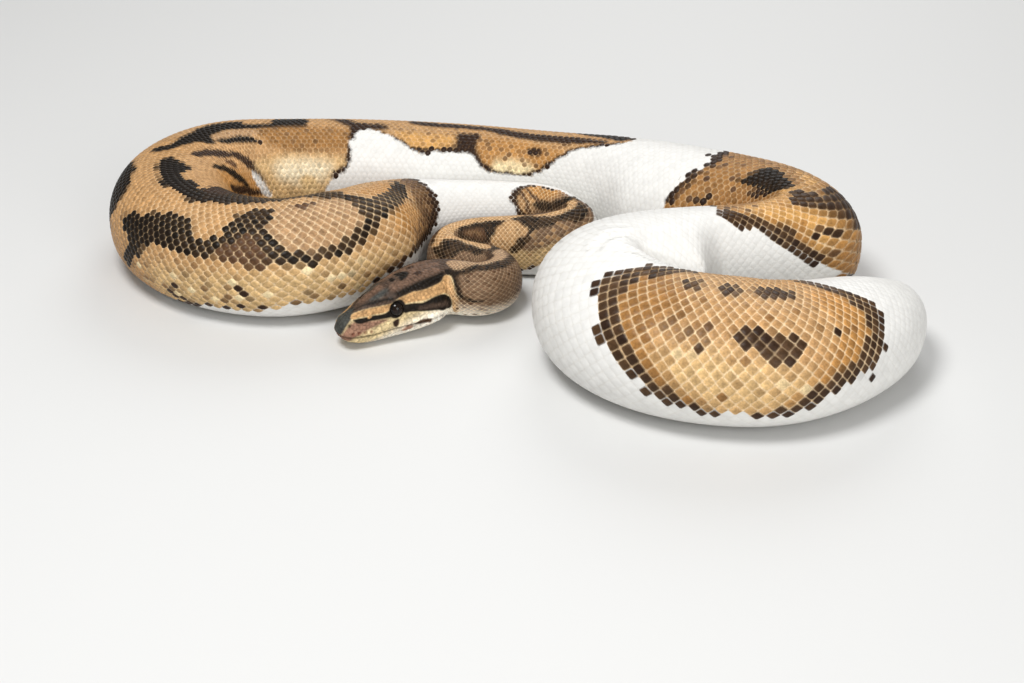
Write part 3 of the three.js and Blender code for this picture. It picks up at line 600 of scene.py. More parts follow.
SPECKLE_MIX = (0.25, 0.95)  # share of its paint in a mottled scale

# Share of the scales along a patch's edge that are dark, by distance from the snout.
EDGE_MOTTLE = (
    (0, 0.45), (316, 0.45), (320, 0.05), (372, 0.05), (376, 0.45), (440, 0.45), (441, 0.15),
    (700, 0.15), (701, 0.45), (1084, 0.45),
)
EDGE_WIDE = 1.5  # how far in from the edge those lie, mm

# Markings of the head, the same on both sides, in the same form as the blotches.
HEAD_BLOTCHES = (
    ("crown", "crown", 0.45, -4-9j, -4+3.4j, 0.6+4.2j, 4.6+3.8j, 6.4+2.2j, 9+3.1j, 12+4.7j, 15+6.4j,
     18+8.1j, 20.6+9.4j, 23+10.4j, 26.4+10.2j, 29+10.5j, 33+10.9j, 36+11.9j, 40+12.5j, 45+12.2j, 49+11j,
     52+9.1j, 55+8.1j, 58+7.8j, 61+7.4j, 65+6.6j, 70+3j, 74+2j, 74-9j),
    ("neck side", "flank", 0.5, 59+7.6j, 62+7j, 66+6j, 70+3.4j, 76+3.4j, 76+32j, 66+32j, 67+20j, 64+14j),
    ("nape blob", "neck_tan", 0.3, 56-9j, 55.8+0j, 57.4+3.2j, 60+4.6j, 63+4.5j, 65.2+2.8j, 67+0.8j,
     72-0.4j, 72-9j),
    ("blob edge", "black", 0.4, 54+5.4j, 57+4.6j, 60+5.4j, 63.4+5.4j, 66+3.4j, 68+1.4j, 72+0.6j, 72+3.4j,
     68.6+4.4j, 65+7j, 61+7.8j, 56+7.8j),
    ("bar edge", "black", 0.35, 57.4+6.8j, 61+6.2j, 63.6+8.6j, 65.4+12.6j, 67+16.2j, 70+17.6j, 70+20j,
     65.6+20.4j, 63.3+17.6j, 61.6+13.4j, 60.3+10j),
    ("crown side", "black", 1.5, 25.6+6.6j, 30+7j, 38+7.4j, 46+7.2j, 51+6j, 54+7.4j, 49+11j, 45+12.2j,
     40+12.4j, 36+11.8j, 32+10.8j, 27+10.2j),
    ("crown light", "crown_light", 1.6, 26+3.6j, 33+2.2j, 41+2.6j, 50+3.4j, 50+6.4j, 40+7j, 31+7j,
     25.6+6.2j),
    ("crown light 2", "crown_light", 1.2, 35-4j, 48-4j, 52+1.4j, 42+2j, 36+1.6j),
    ("crown dark spot", "black", 0.6, 32+0.2j, 35.6-1.4j, 37+0.8j, 33.6+3.2j, 31+3.2j),
    ("crown dark spot 2", "black", 0.6, 27.4-0.6j, 29.2-1j, 29.6+1j, 28+1.4j),
    ("crown dark spot 3", "umber", 0.8, 17-2j, 20.6-2j, 21+1j, 18+1.6j),
    ("crown dark spot 4", "umber", 0.8, 38+2.6j, 41+2j, 42+4j, 39+4.6j),
    ("crown plates", "slate", 1.4, 15.6+2.6j, 20+2.4j, 24+3.4j, 22.6+5.2j, 17.6+4.8j),
    ("crown plates 2", "crown_light", 1.2, 12-1j, 17-2j, 23-1j, 22.4+1.6j, 17+1.8j, 13+1j),
    ("snout grey", "slate", 0.9, -4-9j, -4+4.4j, 0.8+4.6j, 4.6+4.2j, 7+1.8j, 9-0.2j, 9-9j),
    ("snout line", "black", 0.8, 8+0.8j, 12+3j, 16+5.6j, 20+7.6j, 24+9.6j, 24+8j, 19+5.6j, 14+3j),
    ("labials front", "lip_brown", 0.9, -2+5.4j, 3+5.4j, 6+5.8j, 9+7.6j, 12+9.8j, 15+12j, 18.6+14.4j,
     20+16j, 16+15.2j, 11+13.6j, 6+12.6j, 2+13j, -2+13j),
    ("stripe front", "stripe", 0.35, 5.4+3.2j, 6.6+2.3j, 9+3.2j, 12+4.8j, 15+6.5j, 18+8.2j, 20.6+9.5j,
     23.2+10.6j, 22.4+11.6j, 21+12.2j, 19.4+12j, 17+10.8j, 14+9j, 11+7.3j, 8.6+5.8j, 6+4.5j),
    ("stripe back", "stripe", 0.35, 26.4+10.3j, 29+10.6j, 33+11j, 36+12j, 40+12.6j, 45+12.3j, 49+11.2j,
     52+9.2j, 55+8.2j, 57.6+8.3j, 59.6+10j, 61.2+13j, 63+17.4j, 66+20.2j, 66+23j, 62.6+27j, 60.6+26j,
     60.6+22.4j, 60.4+19.6j, 59+17.4j, 55+16.6j, 50+16.8j, 45+17j, 40+17j, 37+16.8j, 33+15.5j, 30+14.3j,
     27.4+13.4j, 25.8+12j),
    ("stripe dark front", "black", 0.35, 5.8+4.8j, 8.6+6.2j, 11+7.7j, 14+9.4j, 17+11.2j, 19.6+12.4j,
     22+12.4j, 21.6+15.4j, 20+15j, 18+13.9j, 15+12.2j, 12+10.4j, 9+8.9j, 7+7.2j),
    ("loreal dot", "stripe", 0.3, 12+8.2j, 13.4+8.6j, 13.6+9.6j, 12.2+9.4j),
    ("eye surround", "black", 0.4, 21+13j, 22.6+10.8j, 25+10.2j, 27.4+11.4j, 28.4+13.8j, 27.8+16.4j,
     25.6+17.8j, 23+17.2j, 21.4+15.4j),
    ("stripe dark back", "black", 0.35, 27+14j, 30+14.8j, 33+16.1j, 36+17.4j, 40+17.2j, 45+17.1j,
     50+17.5j, 55+17.2j, 59+17.9j, 60.4+20.4j, 59.6+23.4j, 56+24.4j, 50+24.2j, 45+24.6j, 42+23.5j,
     38+22.3j, 34+20.5j, 30+18.5j, 27.4+17.4j),
    ("stripe brown", "crown", 1.3, 34+18.6j, 42+20.4j, 50+20.6j, 57+20.4j, 57+22.8j, 50+23j, 42+22.4j,
     36+20.4j),
    ("eye drop", "umber", 0.4, 22.2+18.4j, 24.6+18.4j, 24.8+20.4j, 23.6+21.6j, 22.4+20.4j),
    ("lip mark", "brown", 0.5, 31.4+25j, 34+24.4j, 37+25.3j, 39.2+26.6j, 38.6+28.2j, 36+27.4j, 33+26.4j),
    ("lip mark 2", "lip_brown", 0.7, 26+24.6j, 29+24.4j, 31+26j, 29+27j, 26.6+26.4j),
)


DARK = ("brown", "umber", "black")   # paints that thin out between the scales
DARK_BELOW = 0.06  # a scale darker than this counts as dark
WAVES = 9  # waves in one noise
WANDER = ((0.5, 7), (0.4, 6))  # how far edges stray along and round, and in what size
WANDER_FROM = (56, 80)  # they stray along the body only behind the head
CLOUDS = {"size": 34, "contrast": 0.35, "gold": 0.35}    # golden clouds in the tan
UNEVEN = {"size": 9, "share": 0.05}      # lighter and darker places
STROKE_SOFT = 0.5
STROKE_REACH, PATCH_REACH = 6, 9  # depths are told apart this far from an edge
BELLY_BLEND = 0.03  # share of the way round in which the belly's colour takes over
HEAD_BLEND = (61, 65)  # the head's own markings end between these
JAW_BLEND = (19, 27)  # the lip's colour turns into the jaw's between these, mm round
HEAD_UNEVEN = ((0.13, 2.6), (0.10, 7))  # share and size


def ripple(x, y, size, seed):
    """A smooth noise about 1 high, from waves of about one size in fixed random directions."""
    rng = np.random.default_rng(seed)
    total = np.zeros(np.broadcast(x, y).shape)
    for turn, phase, pace in zip(rng.uniform(0, math.tau, WAVES), rng.uniform(0, math.tau, WAVES),
                                 rng.uniform(0.6, 1.7, WAVES)):
        wave = (x * math.cos(turn) + y * math.sin(turn)) * pace * math.tau / size
        total += np.sin(wave + phase)
    return total / math.sqrt(WAVES)


def closed_curve(points, per_span=5):
    """A smooth closed loop through points."""
    p = np.array([(point.real, point.imag) for point in points])
    before, after, beyond = np.roll(p, 1, 0), np.roll(p, -1, 0), np.roll(p, -2, 0)
    t = (np.arange(per_span) / per_span)[None, :, None]
    a, b, c, d = (q[:, None] for q in (before, p, after, beyond))
    curve = 0.5 * (2 * b + (c - a) * t + (2 * a - 5 * b + 4 * c - d) * t ** 2
                   + (3 * b - a - 3 * c + d) * t ** 3)
    return curve.reshape(-1, 2)


def segment_distance(x, starts, ends):
    """Distance from each point to each segment, and the share along it of the nearest place."""
    way = ends - starts
    rel = x[:, None] - starts[None]
    share = (rel * way).sum(-1) / np.maximum((way ** 2).sum(-1), 1e-12)
    share = np.clip(share, 0, 1)
    return np.linalg.norm(rel - share[..., None] * way, axis=-1), share


def depth_inside(s, arc, outline, reach):
    """How deep each place lies inside a smooth outline, in mm, negative outside it."""
    loop = closed_curve(outline)
    low, high = loop.min(0) - reach, loop.max(0) + reach
    near = (s > low[0]) & (s < high[0]) & (arc > low[1]) & (arc < high[1])
    out = np.full(s.shape, -float(reach))
    if near.any():
        x = np.stack([s[near], arc[near]], 1)
        starts, ends = loop, np.roll(loop, -1, 0)
        gap = segment_distance(x, starts, ends)[0].min(1)
        above = (starts[None, :, 1] > x[:, 1:]) != (ends[None, :, 1] > x[:, 1:])
        rise = np.where(np.abs(ends[:, 1] - starts[:, 1]) < 1e-9, 1e-9, ends[:, 1] - starts[:, 1])
        hit = starts[:, 0] + (x[:, 1:] - starts[:, 1]) / rise * (ends[:, 0] - starts[:, 0])
        inside = (above & (x[:, :1] < hit)).sum(1) % 2 == 1
        out[near] = np.maximum(np.where(inside, gap, -gap), -reach)
    return out


def depth_in_stroke(s, arc, points, reach):
    """How deep each place lies inside a line of changing width, negative outside it."""
    p = np.array(points, float)
    low, high = p[:, :2].min(0) - reach, p[:, :2].max(0) + reach
    near = (s > low[0]) & (s < high[0]) & (arc > low[1]) & (arc < high[1])
    out = np.full(s.shape, -float(reach))
    if near.any():
        x = np.stack([s[near], arc[near]], 1)
        gap, share = segment_distance(x, p[:-1, :2], p[1:, :2])
        wide = p[:-1, 2] + (p[1:, 2] - p[:-1, 2]) * share
        out[near] = np.maximum((wide - gap).max(1), -reach)
    return out


def linear(colour):
    """A display colour as the linear one that shaders use."""
    c = np.array(colour, float)
    return np.where(c <= 0.04045, c / 12.92, ((c + 0.055) / 1.055) ** 2.4)


def evenly_painted(paint, number):
    """One paint's colour for a number of places."""
    return np.tile(linear(PAINT[paint]), (number, 1))


def lay(ground, paint, amount):
    """Paint laid over a ground, by an amount at each place."""
    return ground + (linear(PAINT[paint]) - ground) * amount[..., None]


def roughened(s, arc):
    """Places moved a little at random, so that no marking has a drawn edge."""
    (along, long), (across, wide) = WANDER
    shift = along * ripple(s, arc, long, SEED) * smoothly(s, *WANDER_FROM)
    return s + shift, arc + across * ripple(s, arc, wide, SEED + 1)


def pigment_depth(s, arc):
    """How deep each place lies inside a pigmented patch, in mm, negative in the white."""
    at_s, at_arc = roughened(s, arc)
    depths = [depth_inside(at_s, at_arc, outline, PATCH_REACH) for outline in PIGMENT.values()]
    return np.max(depths, axis=0)


def painted(s, arc, belly, ink=1.0, inset=0.0, grow=0.0, fade=0.35):
    """The snake's colour at each place, and how far it is pigmented there. The skin between
    the scales has less ink in its dark markings, and its pigment ends a little earlier; the
    scales take a dark marking that only just reaches their middle, and fade less."""
    shape = np.shape(s)
    s, arc, belly, ink = (np.ravel(np.broadcast_to(a, shape)).astype(float)
                          for a in (s, arc, belly, ink))
    at_s, at_arc = roughened(s, arc)
    colour = evenly_painted("tan", len(s))
    warm = np.clip(0.5 + CLOUDS["contrast"] * ripple(s, arc, CLOUDS["size"], SEED + 2), 0, 1)
    colour = lay(colour, "gold", CLOUDS["gold"] * warm)
    for _, paint, soft, *outline in BLOTCHES:
        depth = depth_inside(at_s, at_arc, outline, soft + grow + 1)
        if paint in DARK:
            colour = lay(colour, paint, smoothly(depth + grow, -soft, soft) * ink)
        else:
            colour = lay(colour, paint, smoothly(depth, -soft, soft))
    for _, paint, *points in STROKES:
        depth = depth_in_stroke(at_s, at_arc, points, STROKE_REACH)
        colour = lay(colour, paint, smoothly(depth + grow / 2, -STROKE_SOFT, STROKE_SOFT) * ink)
    colour *= (1 + UNEVEN["share"] * ripple(s, arc, UNEVEN["size"], SEED + 3))[:, None]
    amount = smoothly(pigment_depth(s, arc) - np.ravel(inset), -fade, fade)
    on_belly = smoothly(belly, 0.0, BELLY_BLEND)
    amount = amount * (1 - on_belly)
    white = evenly_painted("white", len(s))
    colour = white + (colour - white) * amount[:, None]
    colour = lay(colour, "belly", on_belly)
    head = 1 - smoothly(s, *HEAD_BLEND)
    near = head > 0
    if near.any():
        on_head = painted_head(s[near], np.abs(arc[near]))
        colour[near] += (on_head - colour[near]) * head[near][:, None]
    return colour.reshape(shape + (3,)), amount.reshape(shape)


def painted_head(s, arc):
    """The head's colour by distance from the snout and distance round from the crown."""
    colour = lay(evenly_painted("lip", len(s)), "jaw", smoothly(arc, *JAW_BLEND))
    for _, paint, soft, *outline in HEAD_BLOTCHES:
        depth = depth_inside(s, arc, outline, soft + 1)
        colour = lay(colour, paint, smoothly(depth, -soft, soft))
    mottle = 1
    for number, (share, size) in enumerate(HEAD_UNEVEN):
        mottle = mottle + share * ripple(s, arc, size, SEED + 4 + number)
    return colour * mottle[:, None]


# ------------------------------------------------------------ the coat's measures, mm

BELLY = 0.81  # share of the way round where the belly shields begin
BELLY_OVERLAP = 0.02  # share by which the scales run on under the shields
BELLY_FROM = (46.0, 64.0)  # the shields widen from the chin between these
LATTICE_FROM = 54.0  # the even rows of scales start behind the head
LATTICE_SAMPLES = 4000  # places at which the scales are counted along the body
BACK_WIDER = 0.12  # how much wider the rows are on the back than on the flanks
PITCH = (  # length of one scale along the body, by distance from the snout
    (50, 1.6), (100, 1.9), (150, 2.1), (200, 2.3), (260, 3.0), (310, 3.5), (335, 3.4),
    (360, 3.1), (385, 2.75), (410, 2.3), (440, 2.3), (468, 2.5), (520, 2.9), (575, 3.1),
    (615, 2.8), (660, 2.8), (720, 3.0), (760, 3.6), (790, 3.6), (820, 3.1), (860, 3.0),
    (885, 3.6), (910, 3.75), (940, 3.6), (965, 3.3), (1000, 2.8), (1040, 2.2), (1084, 1.3),
)
ROWS = (  # rows of scales round the body, from each distance on
    (LATTICE_FROM, 53), (1002, 43), (1028, 33), (1048, 23), (1062, 15), (1073, 9),
)
TAIL_BARE = 2.0  # the tip of the tail that has no scales
SCALE_CORNERS = ((0.96, 0.24), (0.34, 0.64))  # a quarter of one scale's outline
STRETCHED_CORNERS = ((0.95, 0.14), (0.17, 0.86))  # the same where the skin is stretched
STRETCH = (  # how far the skin is stretched, by distance from the snout
    (0, 0), (56, 0), (64, 0.7), (92, 0.8), (125, 0.8), (150, 0.5), (168, 0.9), (190, 0.7),
    (215, 0.3), (262, 0.1), (284, 0.55), (300, 0.7), (345, 0.5), (375, 0.3), (400, 0), (700, 0),
    (752, 0.25), (768, 0.7), (790, 0.9), (820, 0.6), (865, 0.6), (885, 1), (965, 1), (1000, 0.3),
    (1040, 0),
)
RIDGE = (0.76, 0.74)  # size of a scale's raised inner ring, at rest and stretched
WHITE_RELIEF = 0.24  # share of the relief that the white scales have
FINE = ((0, 262), (425, 700))  # where one scale may take more than one colour
SCALE_PIECES = (  # the pieces that the scales make, and where each starts and ends
    ("scales_neck", 0, 262), ("scales_left_coil", 262, 440), ("scales_rear", 440, 620),
    ("scales_right_end", 620, 800), ("scales_right_coil", 800, math.inf),
)
SHRINK = (0.94, 1.0)  # size of a scale, as a share
NUDGE = 0.018  # how unevenly scales lie in their rows
TONES = 0.075  # how unequal the scales' brightness is
FULL_SIZE = 2.6  # a scale this large has the full relief

# One scale's tile: an outer and an inner ring of corners, a middle and a root under the skin.
CORNERS = 8
MIDDLE, ROOT, TILE_POINTS = 16, 17, 18
LAP = {"tilt": 0.35, "hinge": 0.35, "sunk": 0.03}    # how the outer ring leans backward
RING = {"ahead": 0.02, "height": 0.76, "tilt": 0.20}
PEAK_AHEAD = 0.05
ROOT_DEPTH = (0.30, 0.2)  # the least, and what a large scale adds

# The tile's colours: how much of the bare skin's colour the rim takes, how the light runs over
# it lengthwise and, on the left coil, cornerwise, and the mean and spread of its grain.
RIM = {"least": 0.15, "light": 0.60, "stretched": 0.55, "light_stretched": 0.40}
RIM_LIGHT = (0.03, 0.2)
LIT = {"rest": 0.25, "stretched": 0.75, "rim": 0.45, "ring": 0.20}
CROSSED = {"from": (262, 300), "to": (400, 440), "rim": 0.30, "ring": 0.10}
RING_GRAIN, PEAK_GRAIN = (-0.04, 0.06), (-0.22, 0.08)
BROWNED = 0.40  # greatest share of dusk in a dark, stretched scale
WHITE_TONES = (0.15, 0.85)  # share of the unequal brightness on white, and what pigment adds
FINE_REACH = (0.45, 0.85)  # where in a tile finer markings are read
FINE_SHARE = 0.8

# The bare skin between the scales: the colour it turns to, and how far; its share of the white
# scales' colour, which makes it a little darker there as painted shade in the gaps and a little
# warmer as its own tint; the ink of its dark markings on the back, and how much less on the flanks.
# Where there are two values for one thing, the second is what stretching adds.
LINE = {"pale": (0.97, 0.87, 0.71), "turn": (0.28, 0.46), "grey": (0.02, 0.25),
        "white": (0.97, 0.96, 0.945), "ink": 0.95, "less": (0.15, 0.50), "inset": (0.1, 1.1)}
LINE_FLANKS = ((8, 14), (19, 10))  # the flanks begin between these, and higher when stretched
LINE_DEEP = {"in": (7, 9), "from": (860, 880), "share": 0.6}     # ink kept in the outer patch

# The belly shields: one shield's section by place along its length and height.
SHIELD_PROFILE = ((-0.52, -0.22), (-0.40, 0.02), (0.30, 0.14), (0.47, 0.16), (0.50, -0.22))
SHIELD_UV = (-1.0, -0.7, 0.6, 0.9, 1.0)
# The darker front and rear edges are painted shade where each shield laps the next.
SHIELD_SHADES = {0: 0.7, -1: 0.8}  # darker front and rear edges
SHIELD_COLUMNS = 15
SHIELD_AHEAD = 0.25  # how far the shields lie ahead of the rows of scales
SHIELD_OVERLAP = 0.012  # share by which a shield's ends lie over the scales
SHIELD_ENDS = (0.86, 1.0)  # the ends sink between these shares of the width
SHIELD_END_DEPTH = 0.12
SHIELD_WHITE = 0.06  # how far the shields' own colour reaches up the flanks
SKIN_SUNK = 0.02  # the skin lies this much under the scales' foot

HEAD_END = 62.0  # the finely built part of the skin ends here
HEAD_STEP = 0.32  # spacing of the skin's rings on the head
HEAD_SIDES = 288
BODY_STEP = 2.5
BODY_SIDES = 96
EYE_RINGS = 64
EYE_SIDES = 96
EYE_DOME = (0.05, 0.75)  # how far the clear scale bulges over the pupil, and its reach in radians
PUPIL = (0.075, 0.40)  # half width and half height, as shares of the eye's radius
PUPIL_EDGE = (0.8, 1.15)
IRIS_EDGE = (0.60, 0.68)
IRIS_RAYS = {"contrast": 0.35, "turns": 3, "size": 0.9}
GAZE = {"forward": 0.22, "up": 0.30}     # how far the eyes look forward and up, as shares
BAKE_STRIPS = 4
BAKE_PATCH = 0.0014  # half size of one scale's patch on the bake map

# Large plates of the head: s, mm round from the crown's middle, extra radius.
PLATES = (
    (0.3, 0.0, 0.9), (2.6, 3.0, 0.5), (3.4, 8.2, 0.6), (7.2, 1.9, 1.1), (11.8, 2.5, 1.5),
    (16.4, 2.2, 0.9), (9.2, 5.6, 0.5), (13.4, 7.2, 0.6), (17.6, 9.4, 0.5), (20.6, 6.4, 0.8),
    (21.4, 2.0, 1.0), (24.6, 7.0, 1.6), (20.4, 11.6, 0.4), (21.2, 15.0, 0.3),
    (28.4, 13.2, 0.3), (28.8, 16.2, 0.3), (28.6, 9.8, 0.4), (26.6, 2.4, 0.6),
)
# The holes' darkening is painted shade inside them; the pits' redness is their own colour.
NOSTRIL = {"from_snout": 3.6, "height": 12.2, "radius": 0.9, "depth": 0.9, "dark": 0.75}
PITS = {"first": 4.4, "spacing": 2.7, "count": 4, "above_mouth": 2.0, "radius": 0.8,
        "depth": 0.5, "shallower": 0.04, "dark": 0.25, "red": 0.55}
HOLE_WALL = (0.45, 1.15)  # a hole's wall, as shares of its radius
HOLE_RIM = {"height": 0.16, "share": 1.4, "reach": 0.4}
PIT_RED = (0.3, 1.5)
LIP_SCALES = (  # rows of lip scales: first, spacing, height over the mouth, extra radius
    (2.2, 3.3, 1.9, 0.75), (3.0, 2.7, -1.7, 0.5),
)
HEAD_TRIES = 14000  # places tried for the head's small scales
HEAD_ROOM = ((0, 14, 30, 60), (1.0, 1.05, 1.2, 1.5))  # their spacing, by distance
HEAD_REACH = {"plate": 0.55, "apart": 0.72, "own": 0.42}
PLATE = {"groove": 0.42, "height": 0.20, "dome": 0.05, "dome_wide": 2}
PLATE_TONES = (0.84, 1.16)
# The grooves' lower brightness is painted shade between the head's plates.
PLATE_SHADE = (0.72, 0.28)  # brightness in the groove, and what the plate adds
PLATES_FADE = (8, 1)  # the plates fade out this far before the head's end
# The mouth line's darkening is painted shade in its groove.
MOUTH_LINE = {"depth": 0.75, "wide": 0.34, "dark": 0.62}
LIPS = {"height": 0.26, "from_line": 1.5, "wide": 1.1}
LIPS_FROM = (2.5, 5)  # line and lips fade in between these, mm round from the crown

# Swells and hollows of the head in mm: height, place along and its reach, place round at
# s = 5, how fast that place moves outward, and its reach.
HEAD_SWELLS = (
    (0.55, 24, 5.0, 9.2, 0.0, 1.3),  # brow
    (0.22, 13, 6.0, 2.6, 0.36, 1.1),  # ridge of the snout
    (-0.35, 15, 5.5, 10.4, 0.0, 1.5),  # hollow before the eye
    (-0.30, 36, 14, 0.0, 0.0, 1.3),  # groove along the crown
)
HEAD_SWELLS_FROM = 5
CHIN_GROOVE = {"depth": 0.45, "at": 16, "long": 12, "wide": 0.5}
# The socket's darkening is painted shade in the hollow.
SOCKET = {"near": 4, "wall": (-0.35, 0.15), "depth": 0.9, "dark": 0.45}
EYE_RIM = {"height": 0.30, "from_socket": 0.55, "wide": 0.45}

# Folds pressed into the bends: depth in mm, and points with half widths.
FOLDS = (
    (0.9, ((862.5, 10.2, 0.6), (855.6, 4.6, 1.0), (851.7, -3.0, 1.2), (838.6, -12.4, 1.0),
           (829.4, -20.1, 0.8), (823.6, -27.0, 0.4))),
    (0.6, ((863.0, 2.7, 0.4), (869.5, -6.5, 0.8), (882.1, -11.2, 0.4))),
)
FOLD_REACH, FOLD_WALL = 7, (-2.4, 1.2)  # a fold's walls rise between these depths
FOLD_SWELL = {"share": 0.5, "away": 3.4, "wide": 1.8}


def mouth_height(s):
    """Height of the mouth's line over the floor."""
    at, heights = np.array(MOUTH).T
    return np.interp(s, at, heights)


def arc_at_height(surface, s, height):
    """Distance round the right side from the crown where the surface has a height."""
    half = surface.v >= 0
    out = []
    for one_s, z in zip(np.atleast_1d(s), np.atleast_1d(height)):
        v = surface.v[half]
        points, _ = surface.at(np.full(len(v), one_s), v)
        widest = int(np.argmax(np.abs(points[:, 2] - points[0, 2]) > 0.3))
        heights = points[widest:, 2]
        out.append(surface.arc(one_s, np.interp(-z, -heights, v[widest:])))
    return np.array(out)


def head_seeds(surface, rng):
    """Centres of the head's plates, lip scales and small scales, and their extra radii."""
    seeds = []
    for s, arc, radius in PLATES:
        seeds += [(s, arc, radius)] if arc == 0 else [(s, arc, radius), (s, -arc, radius)]
    for start, step, above, radius in LIP_SCALES:
        at = np.arange(start, MOUTH_CORNER[0] + 4, step)
        arcs = arc_at_height(surface, at, mouth_height(at) + above)
        for s, arc in zip(at, arcs):
            seeds += [(s, arc, radius), (s, -arc, radius)]
    placed = np.array(seeds)
    points, _ = surface.at(placed[:, 0], surface.share(placed[:, 0], placed[:, 1]))
    radii = placed[:, 2]
    reach = radii + HEAD_REACH["plate"]
    at, v = rng.uniform(1.0, HEAD_END + 3, HEAD_TRIES), rng.uniform(-1, 1, HEAD_TRIES)
    where, _ = surface.at(at, v)
    for point, apart in zip(where, np.interp(at, *HEAD_ROOM)):
        away = np.linalg.norm(points - point, axis=1)
        if (away > reach + apart * HEAD_REACH["apart"]).all():
            points = np.vstack([points, point])
            reach = np.append(reach, apart * HEAD_REACH["own"])
            radii = np.append(radii, 0.0)
    return points, radii


def nearest_two(points, seeds, radii, chunk=3000):
    """For each point: the nearest seed, and how much farther the next one is."""
    which = np.empty(len(points), int)
    gap = np.empty(len(points))
    for start in range(0, len(points), chunk):
        here = slice(start, start + chunk)
        part = points[here]
        square = (part ** 2).sum(1)[:, None] + (seeds ** 2).sum(1) - 2 * part @ seeds.T
        far = np.sqrt(np.maximum(square, 0)) - radii
        each = np.arange(len(part))
        best = far.argmin(1)
        first = far[each, best]
        far[each, best] = np.inf
        which[here] = best
        gap[here] = far.min(1) - first
    return which, gap


def bump_at(distance, radius):
    """A round bump, 1 high at its middle and about 0 past its radius."""
    return np.exp(-(distance / radius) ** 2)


def plate_relief(surface, s, outer, size):
    """Lift in mm and brightness of the head's plates and small scales: each plate's own tone, darker in
    the grooves between them as painted shade.
    """
    rng = np.random.default_rng(SEED + 8)
    seeds, radii = head_seeds(surface, rng)
    which, gap = nearest_two(outer, seeds, radii)
    bright = rng.uniform(*PLATE_TONES, len(seeds))[which]
    plateau = 1 - np.exp(-(gap / PLATE["groove"]) ** 2)
    fade = 1 - smoothly(s, HEAD_END - PLATES_FADE[0], HEAD_END - PLATES_FADE[1])
    dome = PLATE["dome"] * smoothly(gap, 0, PLATE["dome_wide"])
    lift = (PLATE["height"] * size * plateau + dome) * fade
    return lift, 1 + (bright * (PLATE_SHADE[0] + PLATE_SHADE[1] * plateau) - 1) * fade


def draw_mouth(outer, s, arc, lift, shade):
    """Press the mouth's line into the head, with full lips above and below, and darken the line as
    painted shade.
    """
    from_mouth = outer[:, 2] - mouth_height(s)
    open_mouth = 1 - smoothly(s, *MOUTH_CORNER)
    side = smoothly(arc, *LIPS_FROM)
    line = bump_at(from_mouth, MOUTH_LINE["wide"]) * open_mouth * side
    lips = bump_at(np.abs(from_mouth) - LIPS["from_line"], LIPS["wide"]) * open_mouth * side
    lift += LIPS["height"] * lips - MOUTH_LINE["depth"] * line
    shade *= 1 - MOUTH_LINE["dark"] * line


def swell_head(surface, s, arc, lift):
    """Raise the brow and the ridge of the snout, and press the hollows and the chin's groove."""
    for height, at, long, place, slope, wide in HEAD_SWELLS:
        middle = place + slope * (s - HEAD_SWELLS_FROM)
        lift += height * bump_at(s - at, long) * bump_at(arc - middle, wide)
    from_chin = np.maximum(0, surface.arc(s, 1) - arc)
    lift -= (CHIN_GROOVE["depth"] * bump_at(s - CHIN_GROOVE["at"], CHIN_GROOVE["long"])
             * bump_at(from_chin, CHIN_GROOVE["wide"]))


def press_socket(outer, eye, lift, shade):
    """Press the socket of one eye into the head, with a raised rim round it, and darken it as painted
    shade.
    """
    centre, radius, sunk = eye
    away = np.sqrt(np.maximum(((outer - centre) ** 2).sum(1) - sunk ** 2, 0))
    disc = math.sqrt(radius ** 2 - sunk ** 2)
    near = np.abs(away - disc) < SOCKET["near"]
    socket = 1 - smoothly(away, *(disc + edge for edge in SOCKET["wall"]))
    rim = bump_at(away - disc - EYE_RIM["from_socket"], EYE_RIM["wide"])
    pressed = lift * (1 - socket) + EYE_RIM["height"] * rim - SOCKET["depth"] * socket
    lift[:] = np.where(near | (socket > 0), pressed, lift)
    shade *= 1 - SOCKET["dark"] * socket


def head_holes():
    """The nostril and the lip pits of one side: s, height, radius, depth, darkness (painted shade in the
    hole), redness.
    """
    holes = [(*(NOSTRIL[key] for key in ("from_snout", "height", "radius", "depth", "dark")), 0)]
    for k in range(PITS["count"]):
        at = PITS["first"] + k * PITS["spacing"]
        deep = PITS["depth"] - PITS["shallower"] * k
        holes.append((at, mouth_height(at) + PITS["above_mouth"], PITS["radius"], deep,
                      PITS["dark"], PITS["red"]))
    return holes


def press_holes(surface, outer, lift, shade):
    """Press the nostrils and lip pits into the head, darken them as painted shade, and tell how red each
    place is there.
    """
    red = np.zeros(len(outer))
    for at, height, radius, deep, dark, redness in head_holes():
        arcs = arc_at_height(surface, at, height)
        for turn in (-1, 1):
            middle, _ = surface.at(np.array([at]), surface.share(at, turn * arcs))
            away = np.linalg.norm(outer - middle, axis=1)
            hole = 1 - smoothly(away, *(radius * share for share in HOLE_WALL))
            rim = bump_at(away - radius * HOLE_RIM["share"], HOLE_RIM["reach"])
            lift += HOLE_RIM["height"] * rim - deep * hole
            shade *= 1 - dark * hole
            fade = smoothly(away, *(radius * share for share in PIT_RED))
            red = np.maximum(red, redness - redness * fade)
    return red


def head_relief(surface, s, v, eyes, size):
    """Lift in mm, brightness and redness of the head's skin at each place. The brightness holds the
    plates' own tones and painted shade in the grooves, mouth line, sockets and holes.
    """
    outer, _ = surface.at(s, v)
    arc = np.abs(surface.arc(s, v))
    lift, shade = plate_relief(surface, s, outer, size)
    draw_mouth(outer, s, arc, lift, shade)
    swell_head(surface, s, arc, lift)
    for eye in eyes:
        press_socket(outer, eye, lift, shade)
    return lift, shade, press_holes(surface, outer, lift, shade)


